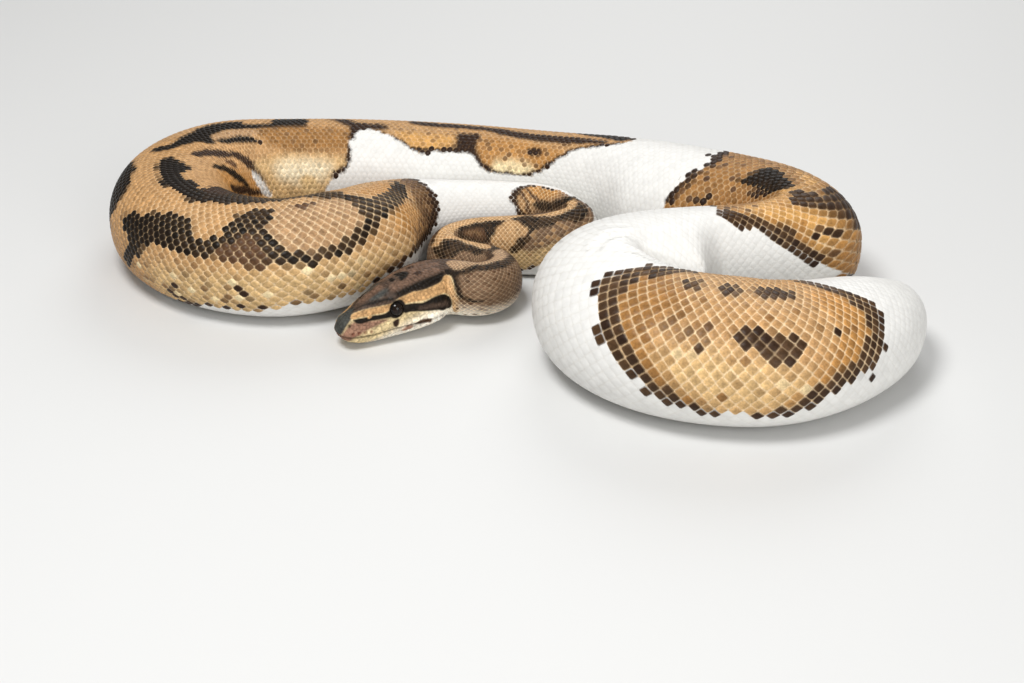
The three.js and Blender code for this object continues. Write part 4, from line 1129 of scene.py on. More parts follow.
def fold_lift(s, arc):
    """How much the folds press the surface in, and swell it beside them, in mm."""
    lift = np.zeros(np.shape(s))
    for deep, points in FOLDS:
        depth = depth_in_stroke(s, arc, points, FOLD_REACH)
        lift -= deep * smoothly(depth, *FOLD_WALL)
        lift += FOLD_SWELL["share"] * deep * bump_at(depth + FOLD_SWELL["away"], FOLD_SWELL["wide"])
    return lift


# ------------------------------------------------------------ mesh making

def bake_place(surface, s, v):
    """A place on the bake map: the skin unwrapped into a few strips laid over each other."""
    span = surface.length / BAKE_STRIPS + 1e-6
    strip = np.floor(s / span)
    return strip, s / span - strip, v


def bake_uv(strip, along, v):
    """The same place in the map's own units, with a little room left round every strip."""
    across = (strip + 0.5 + 0.48 * v) / BAKE_STRIPS
    return np.stack(np.broadcast_arrays(0.01 + 0.98 * along, across), -1)


def make_piece(name, points, faces, uvs, colours, pigment, crease=None):
    """A smooth mesh object from points in mm, faces of any size, UVs, point colours and how far
    each point is pigmented. The points marked as creased are joined by sharp edges."""
    mesh = bpy.data.meshes.new(name)
    points = np.asarray(points) * MM
    corners = np.concatenate([f.ravel() for f in faces])
    sizes = np.concatenate([np.full(len(f), f.shape[1]) for f in faces])
    mesh.vertices.add(len(points))
    mesh.vertices.foreach_set("co", points.ravel().astype(np.float32))
    mesh.loops.add(len(corners))
    mesh.loops.foreach_set("vertex_index", corners.astype(np.int32))
    mesh.polygons.add(len(sizes))
    starts = np.concatenate([[0], np.cumsum(sizes)[:-1]])
    mesh.polygons.foreach_set("loop_start", starts.astype(np.int32))
    mesh.polygons.foreach_set("loop_total", sizes.astype(np.int32))
    mesh.polygons.foreach_set("use_smooth", np.ones(len(sizes), bool))
    mesh.update(calc_edges=True)
    if crease is not None:
        ends = np.empty(2 * len(mesh.edges), np.int32)
        mesh.edges.foreach_get("vertices", ends)
        mesh.edges.foreach_set("use_edge_sharp", crease[ends.reshape(-1, 2)].all(1))
    layer = mesh.uv_layers.new(name="OFBake")
    flat = np.concatenate([u.reshape(-1, 2) for u in uvs])
    layer.uv.foreach_set("vector", flat.ravel().astype(np.float32))
    paint = mesh.color_attributes.new(name="paint", type="FLOAT_COLOR", domain="POINT")
    full = np.concatenate([colours, np.ones((len(colours), 1))], 1)
    paint.data.foreach_set("color", full.ravel().astype(np.float32))
    mottled = mesh.attributes.new(name="pigment", type="FLOAT", domain="POINT")
    mottled.data.foreach_set("value", np.broadcast_to(pigment, len(points)).astype(np.float32))
    if mesh.validate(verbose=False):
        raise RuntimeError(f"{name} has faulty faces")
    piece = bpy.data.objects.new(name, mesh)
    bpy.context.scene.collection.objects.link(piece)
    return piece


class SkinFaces:
    """The skin's faces and their places on the bake map, added part by part."""

    def __init__(self, surface):
        self.surface = surface
        self.corners = []
        self.uvs = []

    def add(self, corners, s, v):
        """Faces by the numbers of their corners, with the corners' s and v."""
        strip, along, across = bake_place(self.surface, s, v)
        lowest = strip.min(1, keepdims=True)
        self.corners.append(corners)
        self.uvs.append(bake_uv(lowest, along + strip - lowest, across))

    def add_rings(self, first, stations, sides):
        """Four-sided faces between rings that have the same number of sides."""
        i, j = np.meshgrid(np.arange(len(stations) - 1), np.arange(sides), indexing="ij")
        ii = i.reshape(-1, 1) + np.array([0, 0, 1, 1])
        jj = j.reshape(-1, 1) + np.array([0, 1, 1, 0])
        self.add(first + ii * sides + jj % sides, stations[ii], -1 + 2 * jj / sides)

    def add_fan(self, tip, tip_s, ring, ring_s, sides, way):
        """Triangles that close an end: way is -1 at the snout and 1 at the tail."""
        k = np.arange(sides)
        corners = np.stack([ring + k, ring + (k + 1) % sides, tip + 0 * k], 1)
        s = np.stack([ring_s + 0 * k, ring_s + 0 * k, tip_s + 0 * k], 1)
        v = np.stack([-1 + 2 * k / sides, -1 + 2 * (k + 1) / sides, -1 + (2 * k + 1) / sides], 1)
        self.add(corners[:, ::way], s[:, ::way], v[:, ::way])

    def add_seam(self, fine, fine_s, rough, rough_s):
        """Triangles between the head's last ring and the body's first, which has fewer sides."""
        ratio = HEAD_SIDES // BODY_SIDES
        k = np.arange(BODY_SIDES)[:, None]
        a, b = ratio * k + np.arange(ratio + 1), k + np.arange(2)
        corners = np.concatenate([fine + a % HEAD_SIDES, rough + b % BODY_SIDES], 1)
        s = np.concatenate([fine_s + 0 * a, rough_s + 0 * b], 1)
        v = np.concatenate([-1 + 2 * a / HEAD_SIDES, -1 + 2 * b / BODY_SIDES], 1)
        for pick in ((0, 1, 4), (1, 2, 4), (2, 5, 4), (2, 3, 5)):
            self.add(corners[:, pick], s[:, pick], v[:, pick])


def ring_places(stations, sides):
    """s and v of the points of rings at some stations."""
    v = -1 + 2 * np.arange(sides) / sides
    return np.repeat(stations, sides), np.tile(v, len(stations))


def skin_colour(s, v, arc, shade, red):
    """The skin's colour and pigment: the head's own, and bare skin between scales behind it."""
    belly = np.abs(v) - belly_share(s)
    colour, pigment = painted(s, arc, belly)
    on_head = s < HEAD_END
    # The head's brightness holds painted shade in its grooves, mouth line, sockets and holes.
    colour[on_head] *= shade[:, None]
    colour[on_head] = lay(colour[on_head], "pit", red)
    behind = smoothly(s, HEAD_END - PLATES_FADE[0], HEAD_END)[:, None]
    colour += (line_colour(s, arc, belly) - colour) * behind
    return np.clip(colour, 0, 1), pigment


def build_skin(surface, eyes, sizes):
    """The one skin of the whole snake, with the head's plates, lips, eye rims and pits."""
    cap = surface.s[surface.s < SNOUT_CAP - 1e-9][1:]
    head = np.arange(SNOUT_CAP, HEAD_END, HEAD_STEP)
    body = np.arange(HEAD_END + HEAD_STEP * 2, surface.length - TAIL_CAP, BODY_STEP)
    tail = surface.s[surface.s >= surface.length - TAIL_CAP][:-1]
    fine, rough = np.concatenate([cap, head]), np.concatenate([body, tail])
    fine_s, fine_v = ring_places(fine, HEAD_SIDES)
    rough_s, rough_v = ring_places(rough, BODY_SIDES)
    s = np.concatenate([[0], fine_s, rough_s, [surface.length]])
    v = np.concatenate([[0], fine_v, rough_v, [0]])
    arc = surface.arc(s, v)

    lift = np.full(len(s), -(sizes.coat_depth / MM + SKIN_SUNK))
    on_head = s < HEAD_END
    relief, shade, red = head_relief(surface, s[on_head], v[on_head], eyes, sizes.plate_relief)
    lift[on_head] += relief
    lift += fold_lift(s, arc)
    points, _ = surface.at(s, v, lift)
    colour, pigment = skin_colour(s, v, arc, shade, red)

    first_rough, tip = 1 + len(fine_s), len(s) - 1
    faces = SkinFaces(surface)
    faces.add_rings(1, fine, HEAD_SIDES)
    faces.add_rings(first_rough, rough, BODY_SIDES)
    faces.add_fan(0, 0, 1, fine[0], HEAD_SIDES, -1)
    faces.add_fan(tip, surface.length, tip - BODY_SIDES, rough[-1], BODY_SIDES, 1)
    faces.add_seam(first_rough - HEAD_SIDES, fine[-1], first_rough, rough[0])
    return make_piece("skin", points, faces.corners, faces.uvs, colour, pigment)


def belly_share(s):
    """The share of the way round at which the belly shields begin."""
    return 1.02 - (1.02 - BELLY) * smoothly(s, *BELLY_FROM)


def past_belly_line(v):
    """How far a place of the even rows lies past the scales' last row, as a share."""
    return np.abs(v) - BELLY - BELLY_OVERLAP


def stretch_at(s):
    """How far the skin is stretched at a distance from the snout, from 0 to 1."""
    at, amount = np.array(STRETCH).T
    return np.interp(s, at, amount)


def line_colour(s, arc, belly):
    """The colour of the bare skin between the scales: paler than they are, save on the back."""
    stretch = stretch_at(s)
    flanks = smoothly(np.abs(arc), *(start - more * stretch for start, more in LINE_FLANKS))
    thin = (LINE["less"][0] + LINE["less"][1] * np.sqrt(stretch)) * flanks
    deep = smoothly(pigment_depth(s, arc), *LINE_DEEP["in"]) * smoothly(s, *LINE_DEEP["from"])
    ink = LINE["ink"] - thin * (1 - LINE_DEEP["share"] * deep)
    inset = LINE["inset"][0] + LINE["inset"][1] * np.minimum(1, 2 * stretch)
    colour, pigment = painted(s, arc, belly, ink, inset)
    grey = smoothly(colour.mean(-1, keepdims=True), *LINE["grey"])
    turn = (LINE["turn"][0] + LINE["turn"][1] * np.sqrt(stretch))[..., None]
    toward = colour + (linear(LINE["pale"]) - colour) * grey * turn
    # Between white scales the bare skin is a little darker, as painted shade in the gaps, and a little
    # warmer.
    white = colour * np.array(LINE["white"])
    return white + (toward - white) * pigment[..., None]


class Lattice:
    """Rows of scales that lie in a quincunx, by a count along the body and a row round it."""

    def __init__(self, surface):
        self.surface = surface
        self.s = np.linspace(0, surface.length, LATTICE_SAMPLES)
        at, pitch = np.array(PITCH).T
        per_mm = 1 / np.interp(self.s, at, pitch)
        step = self.s[1] - self.s[0]
        self.count = np.concatenate([[0], np.cumsum((per_mm[1:] + per_mm[:-1]) / 2 * step)])

    def place(self, count, row, rows):
        """s and v at a count along the body and a row from the middle of the back."""
        s = np.interp(count, self.count, self.s)
        x = row / (rows / 2)
        return s, x * (1 + BACK_WIDER * (1 - np.abs(x))) * belly_share(s)

    def centres(self):
        """Count, row and number of rows of every scale."""
        out = []
        ends = [s for s, _ in ROWS[1:]] + [self.surface.length - TAIL_BARE]
        for (start, rows), end in zip(ROWS, ends):
            first, last = np.interp((start, end), self.s, self.count)
            half = (rows - 1) // 2
            for row in range(-half, half + 1):
                whole = np.arange(math.ceil(first), math.ceil(last)) + 0.5 * (row % 2)
                out.append(np.stack([whole, np.full(len(whole), row), np.full(len(whole), rows)], 1))
        return np.concatenate(out)


def scale_tips(stretch):
    """The eight corners of a scale's outline: shares of half its length and of one row."""
    quarter = np.array(SCALE_CORNERS)
    quarter = quarter + (np.array(STRETCHED_CORNERS) - quarter) * np.asarray(stretch)[..., None, None]
    (a, b), (c, d) = (np.moveaxis(quarter[..., k, :], -1, 0) for k in (0, 1))
    return ((a, b), (c, d), (-c, d), (-a, b), (-a, -b), (-c, -d), (c, -d), (a, -b))


def mottle_scales(s, arc, colour, pigment, rng):
    """Darken single scales: the flecks, the mottled areas and the patches' ragged edges."""
    for x, y in FLECKS:
        nearest = np.hypot(s - x, arc - y).argmin()
        colour[nearest] = linear(PAINT["umber"])
        pigment[nearest] = 1
    for x, y in FAINT_FLECKS:
        nearest = np.hypot(s - x, arc - y).argmin()
        colour[nearest] = lay(colour[nearest], "umber", np.array(FAINT))
    on_body = (s > HEAD_END) & (pigment > 0.5)
    dark = colour.mean(1) < DARK_BELOW
    for paint, chance, soft, *outline in SPECKLES:
        share = chance * smoothly(depth_inside(s, arc, outline, soft + 1), -soft, soft)
        hit = on_body & ~dark & (rng.random(len(s)) < share)
        colour[hit] = lay(colour[hit], paint, rng.uniform(*SPECKLE_MIX, int(hit.sum())))
    at, share = np.array(EDGE_MOTTLE).T
    on_edge = on_body & (pigment_depth(s, arc) < EDGE_WIDE)
    hit = on_edge & (rng.random(len(s)) < np.interp(s, at, share))
    colour[hit] = linear(PAINT["umber"])


class Coat:
    """Every small scale: a closed, gently domed tile with its rear tip a little raised."""

    def __init__(self, surface, sizes):
        self.surface = surface
        self.lattice = Lattice(surface)
        self.depth = sizes.coat_depth / MM
        self.relief = sizes.scale_relief / MM
        count, row, rows = self.lattice.centres().T
        s, v = self.lattice.place(count, row, rows)
        order = np.argsort(s, kind="stable")
        self.count, self.row, self.rows, self.s, self.v = (
            a[order] for a in (count, row, rows, s, v))
        self.number = len(s)
        self.arc = surface.arc(self.s, self.v)
        self.stretch = stretch_at(self.s)
        self.tips = scale_tips(self.stretch)
        self.rng = np.random.default_rng(SEED + 20)
        self.shrink = self.rng.uniform(*SHRINK, self.number)
        self.nudge = self.rng.normal(0, NUDGE, (2, self.number))
        self.bright = self.rng.normal(1.0, TONES, self.number)
        self.drawn, self.pigment = painted(self.s, self.arc, past_belly_line(self.v),
                                           grow=0.7, fade=0.01)
        self.colour = self.drawn.copy()
        mottle_scales(self.s, self.arc, self.colour, self.pigment, self.rng)

    def spot(self, along, across, lift):
        """One point of every tile, by shares of half its length and of one row."""
        s, v = self.lattice.place(self.count + self.nudge[0] + along / 2,
                                  self.row + self.nudge[1] + across, self.rows)
        s = np.clip(s, 0, self.surface.length)
        v = np.clip(v, -1, 1)
        folds = fold_lift(s, self.surface.arc(s, v))
        return self.surface.at(s, v, lift - self.depth + folds)[0]

    def fullness(self):
        """How large each scale is, as a share of one that has the full relief."""
        front, rear, left, right = (
            self.spot(a, b, 0) for a, b in ((-1, 0), (1, 0), (0, -1), (0, 1)))
        long = np.linalg.norm(rear - front, axis=1)
        wide = np.linalg.norm(right - left, axis=1) / 2
        return np.clip(np.minimum(long, wide) / FULL_SIZE, 0.05, 1)

    def points(self):
        """The points of every tile: the outer ring, the inner ring, the middle and the root."""
        full = self.fullness()
        rise = self.relief * full * (WHITE_RELIEF + (1 - WHITE_RELIEF) * self.pigment)
        ridge = RIDGE[0] + (RIDGE[1] - RIDGE[0]) * self.stretch
        points = []
        for a, b in self.tips:
            lap = LAP["tilt"] * rise * (a + LAP["hinge"])
            points.append(self.spot(a * self.shrink, b * self.shrink, lap - LAP["sunk"]))
        for a, b in self.tips:
            a, b = a * ridge + RING["ahead"], b * ridge
            height = rise * (RING["height"] + RING["tilt"] * a)
            points.append(self.spot(a * self.shrink, b * self.shrink, height))
        points.append(self.spot(PEAK_AHEAD, 0, rise))
        points.append(self.spot(0, 0, -ROOT_DEPTH[0] - ROOT_DEPTH[1] * full))
        return np.stack(points, 1)

    def toned(self):
        """One colour for each scale, with its own brightness, and browner where stretched."""
        dark = self.colour.mean(1) < DARK_BELOW
        brown = self.rng.uniform(0, BROWNED, self.number) * self.stretch * dark
        colour = lay(self.colour, "dusk", brown)
        tone = 1 + (self.bright - 1) * (WHITE_TONES[0] + WHITE_TONES[1] * self.pigment)
        return np.clip(colour * tone[:, None], 0, 1)

    def lights(self):
        """How brightly each corner is lit, lengthwise and, on the left coil, cornerwise."""
        stretch = self.stretch
        on_left_coil = smoothly(self.s, *CROSSED["from"]) * (1 - smoothly(self.s, *CROSSED["to"]))
        along = np.stack([a + 0 * stretch for a, _ in self.tips], 1)
        corner = np.stack([a * b + 0 * stretch for a, b in self.tips], 1)
        lit = -along * (LIT["rest"] + LIT["stretched"] * stretch)[:, None]
        return lit, -4 * corner * on_left_coil[:, None]

    def shades(self):
        """The colours of every tile's points, in the order of the points."""
        line = line_colour(self.s, self.arc, past_belly_line(self.v))
        colour, pigment = self.toned(), self.pigment
        # lit and cross are painted light and shade: one side of each scale's rim and inner ring is paler,
        # the other darker.
        lit, cross = self.lights()
        light = smoothly(colour.mean(1), *RIM_LIGHT)
        pale = (RIM["least"] + RIM["light"] * light
                + self.stretch * (RIM["stretched"] - RIM["light_stretched"] * light))
        pale = pale[:, None] * (1 + LIT["rim"] * lit + CROSSED["rim"] * cross)
        pale = np.clip(pale, 0, 1)[..., None]
        grain = self.rng.normal(*RING_GRAIN, (self.number, CORNERS))
        # The ring's grain is random, plus the painted light and shade of lit and cross.
        grain = grain + LIT["ring"] * lit + CROSSED["ring"] * cross
        peak = self.rng.normal(*PEAK_GRAIN, self.number)
        shade = np.empty((self.number, TILE_POINTS, 3))
        shade[:, :CORNERS] = colour[:, None] + (line - colour)[:, None] * pale
        shade[:, CORNERS:MIDDLE] = colour[:, None] * (1 + grain * pigment[:, None])[..., None]
        shade[:, MIDDLE] = colour * (1 + (peak * pigment)[:, None])
        shade[:, ROOT] = line
        self.add_fine_markings(shade)
        return np.clip(shade, 0, 1)

    def add_fine_markings(self, shade):
        """Colour the corners each by its own place, where markings are finer than a scale."""
        plain = (self.colour == self.drawn).all(1)
        fine = np.any([(self.s > low) & (self.s < high) for low, high in FINE], axis=0) & plain
        for k, (a, b) in enumerate(self.tips):
            s, v = self.lattice.place((self.count + a * FINE_REACH[0])[fine],
                                      (self.row + b * FINE_REACH[1])[fine], self.rows[fine])
            own, _ = painted(s, self.surface.arc(s, v), past_belly_line(v), grow=0.4)
            change = (own - self.drawn[fine]) * FINE_SHARE
            shade[fine, k] += change
            shade[fine, CORNERS + k] += change

    def bake_places(self):
        """Every tile's points on the bake map: a small flat copy at the scale's place."""
        middle = bake_uv(*bake_place(self.surface, self.s, self.v))
        flat = np.array(scale_tips(0.0))
        spread = np.concatenate([flat, flat * RIDGE[0], [[0, 0]], [[0, 0]]]) * BAKE_PATCH
        return middle[:, None] + spread[None]


def tile_faces():
    """The triangles of one tile: its skirt, its crown and its foot."""
    k = np.arange(CORNERS)
    after = (k + 1) % CORNERS
    inner, inner_after = CORNERS + k, CORNERS + after
    skirt = np.concatenate([np.stack([k, inner_after, after], 1),
                            np.stack([k, inner, inner_after], 1)])
    crown = np.stack([inner, MIDDLE + 0 * k, inner_after], 1)
    foot = np.stack([k, after, ROOT + 0 * k], 1)
    return np.concatenate([skirt, crown, foot])


def build_scales(surface, sizes):
    """The scales as pieces, one after another along the body."""
    coat = Coat(surface, sizes)
    points, shades, places, tile = coat.points(), coat.shades(), coat.bake_places(), tile_faces()
    pieces = []
    for name, start, end in SCALE_PIECES:
        pick = (coat.s >= start) & (coat.s < end)
        here = int(pick.sum())
        faces = tile[None] + TILE_POINTS * np.arange(here)[:, None, None]
        pieces.append(make_piece(
            name, points[pick].reshape(-1, 3), [faces.reshape(-1, 3)],
            [places[pick][:, tile].reshape(-1, 3, 2)], shades[pick].reshape(-1, 3),
            np.repeat(coat.pigment[pick], TILE_POINTS),
            np.tile(np.arange(TILE_POINTS) < CORNERS, here)))
    return pieces


def shield_points(surface, depth):
    """Points, s and v of the shields: by shield, by column across, by place in the profile."""
    lattice = Lattice(surface)
    ends = (BELLY_FROM[0] + 6, surface.length - TAIL_BARE)
    first, last = np.interp(ends, lattice.s, lattice.count)
    count = np.arange(math.ceil(first), math.floor(last)) + SHIELD_AHEAD
    across = np.linspace(-1, 1, SHIELD_COLUMNS)
    points, all_s, all_v = [], [], []
    for along, rise in SHIELD_PROFILE:
        s = np.interp(count + along, lattice.count, lattice.s)[:, None] + 0 * across
        reach = 1 - belly_share(s) + SHIELD_OVERLAP
        v = np.where(across < 0, 1 + across * reach, -1 + across * reach)
        flat = 1 - smoothly(np.abs(across), *SHIELD_ENDS)
        height = np.where(rise > 0, rise * flat - SHIELD_END_DEPTH * (1 - flat), rise)
        lift = height - depth + fold_lift(s, surface.arc(s, v))
        points.append(surface.at(s, np.clip(v, -1, 1), lift)[0])
        all_s.append(s)
        all_v.append(v)
    return np.stack(points, 2), np.stack(all_s, 2), np.stack(all_v, 2)


def shield_faces(wide, deep):
    """Corners of one shield's sides and of its two ends."""
    j, k = np.meshgrid(np.arange(wide - 1), np.arange(deep), indexing="ij")
    here, there = j.ravel() * deep, (j.ravel() + 1) * deep
    k, after = k.ravel(), (k.ravel() + 1) % deep
    sides = np.stack([here + k, there + k, there + after, here + after], 1)
    ends = np.stack([np.arange(deep), (wide - 1) * deep + np.arange(deep)[::-1]])
    return sides, ends


def build_belly(surface, sizes):
    """The broad shields across the belly, each with its rear edge lapping the next."""
    points, s, v = shield_points(surface, sizes.coat_depth / MM)
    number, wide, deep = points.shape[:3]
    colour, _ = painted(s, surface.arc(s, v), np.abs(v) - BELLY + SHIELD_WHITE)
    rng = np.random.default_rng(SEED + 30)
    colour = colour * rng.normal(1, 0.02, number)[:, None, None, None]
    # Painted shade: each shield's front and rear edges are darker, where the shields lap.
    for place, shade in SHIELD_SHADES.items():
        colour[:, :, place] *= shade

    across = np.linspace(-1, 1, wide)
    strip, along, _ = bake_place(surface, s[:, :1, :1], v[:, :1, :1])
    ground = bake_uv(strip, along, across[None, :, None] * 0.9)
    slide = np.array(SHIELD_UV) * BAKE_PATCH
    places = (ground + np.stack([slide, 0 * slide], -1)[None, None]).reshape(number, -1, 2)

    sides, ends = shield_faces(wide, deep)
    base = np.arange(number)[:, None, None] * wide * deep
    faces = [(base + sides[None]).reshape(-1, 4), (base + ends[None]).reshape(-1, deep)]
    uvs = [places[:, sides].reshape(-1, 4, 2), places[:, ends].reshape(-1, deep, 2)]
    return make_piece("belly_shields", points.reshape(-1, 3), faces, uvs,
                      np.clip(colour.reshape(-1, 3), 0, 1), 0)


def eye_colour(x, y, front):
    """Black round a dark brown iris with an upright slit pupil, by place on the unit disc."""
    away = np.hypot(x, y)
    pupil = 1 - smoothly(np.hypot(x / PUPIL[0], y / PUPIL[1]), *PUPIL_EDGE)
    iris = (1 - smoothly(away, *IRIS_EDGE)) * (front > 0)
    turns = np.arctan2(y, x) * IRIS_RAYS["turns"]
    rays = 1 + IRIS_RAYS["contrast"] * ripple(turns, away, IRIS_RAYS["size"], SEED + 40)
    colour = evenly_painted("black", len(x)) * 0.3
    colour += (linear(PAINT["brown"]) * 0.12 * rays[:, None] - colour) * iris[:, None]
    return np.clip(colour * (1 - 0.95 * pupil[:, None]), 0, 1)


def build_eye(name, centre, radius, gaze):
    """One eye: a dark iris with an upright slit pupil, under the low dome of its clear scale."""
    side = np.cross(gaze, (0, 0, 1))
    side /= np.linalg.norm(side)
    up = np.cross(side, gaze)
    tilt = np.linspace(0, math.pi, EYE_RINGS + 1)[1:-1, None]
    turn = math.tau * np.arange(EYE_SIDES)[None] / EYE_SIDES
    x, y = np.sin(tilt) * np.cos(turn), np.sin(tilt) * np.sin(turn)
    bulge, reach = EYE_DOME
    dome = radius * (1 + bulge * bump_at(tilt, reach))
    ring = dome[..., None] * (x[..., None] * side + y[..., None] * up
                              + (np.cos(tilt) + 0 * turn)[..., None] * gaze)
    front_tip = radius * (1 + bulge) * gaze
    points = np.vstack([[front_tip], ring.reshape(-1, 3), [-radius * gaze]]) + centre
    x, y = (np.concatenate([[0], a.ravel(), [0]]) for a in (x, y))
    front = np.concatenate([[1], np.cos(tilt + 0 * turn).ravel(), [-1]])

    k = np.arange(EYE_SIDES)
    after = (k + 1) % EYE_SIDES
    start = 1 + EYE_SIDES * np.arange(EYE_RINGS - 2)[:, None]
    rear = start + EYE_SIDES
    quads = np.stack([start + k, rear + k, rear + after, start + after], -1)
    last = len(points) - 1
    faces = [quads.reshape(-1, 4), np.stack([0 * k, 1 + k, 1 + after], 1),
             np.stack([last + 0 * k, last - EYE_SIDES + after, last - EYE_SIDES + k], 1)]
    spread = 1 + (front < 0)
    flat = np.stack([0.5 + 0.48 * x / 2 * spread, 0.5 + 0.48 * y / 2 * spread], 1)
    return make_piece(name, points, faces, [flat[f] for f in faces], eye_colour(x, y, front), 0)


# ------------------------------------------------------------ finishes

FINISH = {  # noise scale and detail, and the range that each noise gives
    "tone": (260, 4, 0.88, 1.12),
    "grain": (1000, 4, 0.45, 1.5),
    "gloss": (900, 3),
    "relief": (2200, 3),
}
GRAIN_BUMP = {"Strength": 0.25, "Distance": 0.0001}


def new_material(name):
    """A material with one shader joined to its output."""
    material = bpy.data.materials.new(name)
    material.use_nodes = True
    nodes = material.node_tree.nodes
    nodes.clear()
    output = nodes.new("ShaderNodeOutputMaterial")
    shader = nodes.new("ShaderNodeBsdfPrincipled")
    material.node_tree.links.new(shader.outputs["BSDF"], output.inputs["Surface"])
    return material, nodes, material.node_tree.links, shader


def set_inputs(node, values):
    """Set a node's inputs by their names."""
    for key, value in values.items():
        node.inputs[key].default_value = value


def attribute(nodes, name):
    """A node that reads one of the mesh's attributes."""
    node = nodes.new("ShaderNodeAttribute")
    node.attribute_name = name
    return node


def noise(nodes, links, scale, detail):
    """A noise laid out in the object's own space."""
    coords = nodes.new("ShaderNodeTexCoord")
    texture = nodes.new("ShaderNodeTexNoise")
    set_inputs(texture, {"Scale": scale, "Detail": detail})
    links.new(coords.outputs["Object"], texture.inputs["Vector"])
    return texture.outputs["Fac"]


def ranged(nodes, links, source, low, high):
    """A value from 0 to 1 taken to another range."""
    ramp = nodes.new("ShaderNodeMapRange")
    set_inputs(ramp, {"To Min": low, "To Max": high})
    links.new(source, ramp.inputs["Value"])
    return ramp.outputs["Result"]


def multiplied(nodes, links, colour, finish):
    """A node that multiplies a colour by one of the finish's noises."""
    scale, detail, low, high = finish
    node = nodes.new("ShaderNodeMix")
    node.data_type = "RGBA"
    node.blend_type = "MULTIPLY"
    node.inputs["Factor"].default_value = 1.0
    links.new(colour, node.inputs["A"])
    links.new(ranged(nodes, links, noise(nodes, links, scale, detail), low, high), node.inputs["B"])
    return node


def skin_finish(name, rough, coat):
    """Painted skin: satin, faintly mottled, with a fine grain in its gloss and relief."""
    material, nodes, links, shader = new_material(name)
    tone = multiplied(nodes, links, attribute(nodes, "paint").outputs["Color"], FINISH["tone"])
    fine = multiplied(nodes, links, tone.outputs["Result"], FINISH["grain"])
    links.new(attribute(nodes, "pigment").outputs["Fac"], fine.inputs["Factor"])
    links.new(fine.outputs["Result"], shader.inputs["Base Color"])
    gloss = noise(nodes, links, *FINISH["gloss"])
    links.new(ranged(nodes, links, gloss, *rough), shader.inputs["Roughness"])
    bump = nodes.new("ShaderNodeBump")
    set_inputs(bump, GRAIN_BUMP)
    links.new(noise(nodes, links, *FINISH["relief"]), bump.inputs["Height"])
    links.new(bump.outputs["Normal"], shader.inputs["Normal"])
    set_inputs(shader, {"Coat Weight": coat, "Coat Roughness": 0.22, "Specular IOR Level": 0.10})
    return material


def eye_finish(name):
    """Painted iris under a wet, clear scale."""
    material, nodes, links, shader = new_material(name)
    links.new(attribute(nodes, "paint").outputs["Color"], shader.inputs["Base Color"])
    set_inputs(shader, {"Roughness": 0.4, "Specular IOR Level": 0.0, "Coat Weight": 0.7,
                        "Coat Roughness": 0.015, "Coat IOR": 1.42})
    return material


def floor_finish(name, colour):
    """Matt pale studio floor."""
    material, _, _, shader = new_material(name)
    set_inputs(shader, {"Base Color": (*colour, 1), "Roughness": 0.65})
    return material


# ------------------------------------------------------------ settings, operators and panel

class PythonSizes(bpy.types.PropertyGroup):
    coat_depth: bpy.props.FloatProperty(
        name="Coat depth", description="How deep the skin lies inside the outer shape",
        default=0.42 * MM, unit="LENGTH", precision=5)
    scale_relief: bpy.props.FloatProperty(
        name="Scale relief", description="Height of the largest scales over their foot",
        default=0.38 * MM, unit="LENGTH", precision=5)
    plate_relief: bpy.props.FloatProperty(
        name="Plate relief", description="Share of the full relief of the head's plates",
        default=1.0, min=0, max=2)
    floor_size: bpy.props.FloatProperty(
        name="Floor size", description="Side of the studio floor", default=6.0, unit="LENGTH")


class PythonColours(bpy.types.PropertyGroup):
    __annotations__ = {
        key: bpy.props.FloatVectorProperty(
            name=key.replace("_", " ").capitalize(), description="Colour of the markings so named",
            subtype="COLOR_GAMMA", size=3, min=0, max=1, default=colour)
        for key, colour in PAINT.items()
    }


class PythonLights(bpy.types.PropertyGroup):
    key_power: bpy.props.FloatProperty(
        name="Key light", description="Power of the light high on the front left", default=8.7,
        unit="POWER")
    fill_power: bpy.props.FloatProperty(
        name="Fill light", description="Power of the light from the front", default=6.0,
        unit="POWER")
    back_power: bpy.props.FloatProperty(
        name="Back light", description="Power of the light from behind", default=4.0,
        unit="POWER")
    world_strength: bpy.props.FloatProperty(
        name="Surround", description="Strength of the even light all round", default=0.33)
    floor_colour: bpy.props.FloatVectorProperty(
        name="Floor colour", description="Colour of the studio floor", subtype="COLOR", size=3,
        min=0, max=1, default=(0.67, 0.67, 0.66))


SHAPE = Surface()
FLOOR_DROP = 0.0001  # the floor lies this far under the snake, metres
CAMERA = {"place": (0.0045, -0.8670, 0.4710), "tilt": math.radians(60.5), "lens": 77.34,
          "sensor": 36}
LIGHT_PLACES = (  # name, the setting with its power, then place, aim and size in metres
    ("Key light", "key_power", (-0.25, -0.36, 1.0), (0, 0, 0), 0.4),
    ("Fill light", "fill_power", (0.48, -1.05, 0.5), (0, 0, 0.02), 0.8),
    ("Back light", "back_power", (0.2, 0.9, 0.7), (0, 0, 0.02), 0.7),
)


def eye_places():
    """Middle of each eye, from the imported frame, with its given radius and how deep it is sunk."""
    out = {}
    for node in ("eye_near", "eye_far"):
        low, high = (np.array(corner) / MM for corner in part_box(node))
        out[node] = ((low + high) / 2, EYE["radius"], EYE["sunk"])
    return out


def gazes(middles):
    """The way each eye faces: outward from the head's middle, a little up and forward."""
    ahead = np.array([-math.cos(HEAD_YAW), -math.sin(HEAD_YAW), 0])
    out = []
    for own, other in (middles, middles[::-1]):
        outward = (own - other) / np.linalg.norm(own - other)
        way = outward + GAZE["forward"] * ahead + np.array([0, 0, GAZE["up"]])
        out.append(way / np.linalg.norm(way))
    return out


def finish_piece(piece, material):
    """Give a piece its finish and the one body that it rides on."""
    piece.data.materials.clear()
    piece.data.materials.append(material)
    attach(piece, "root")


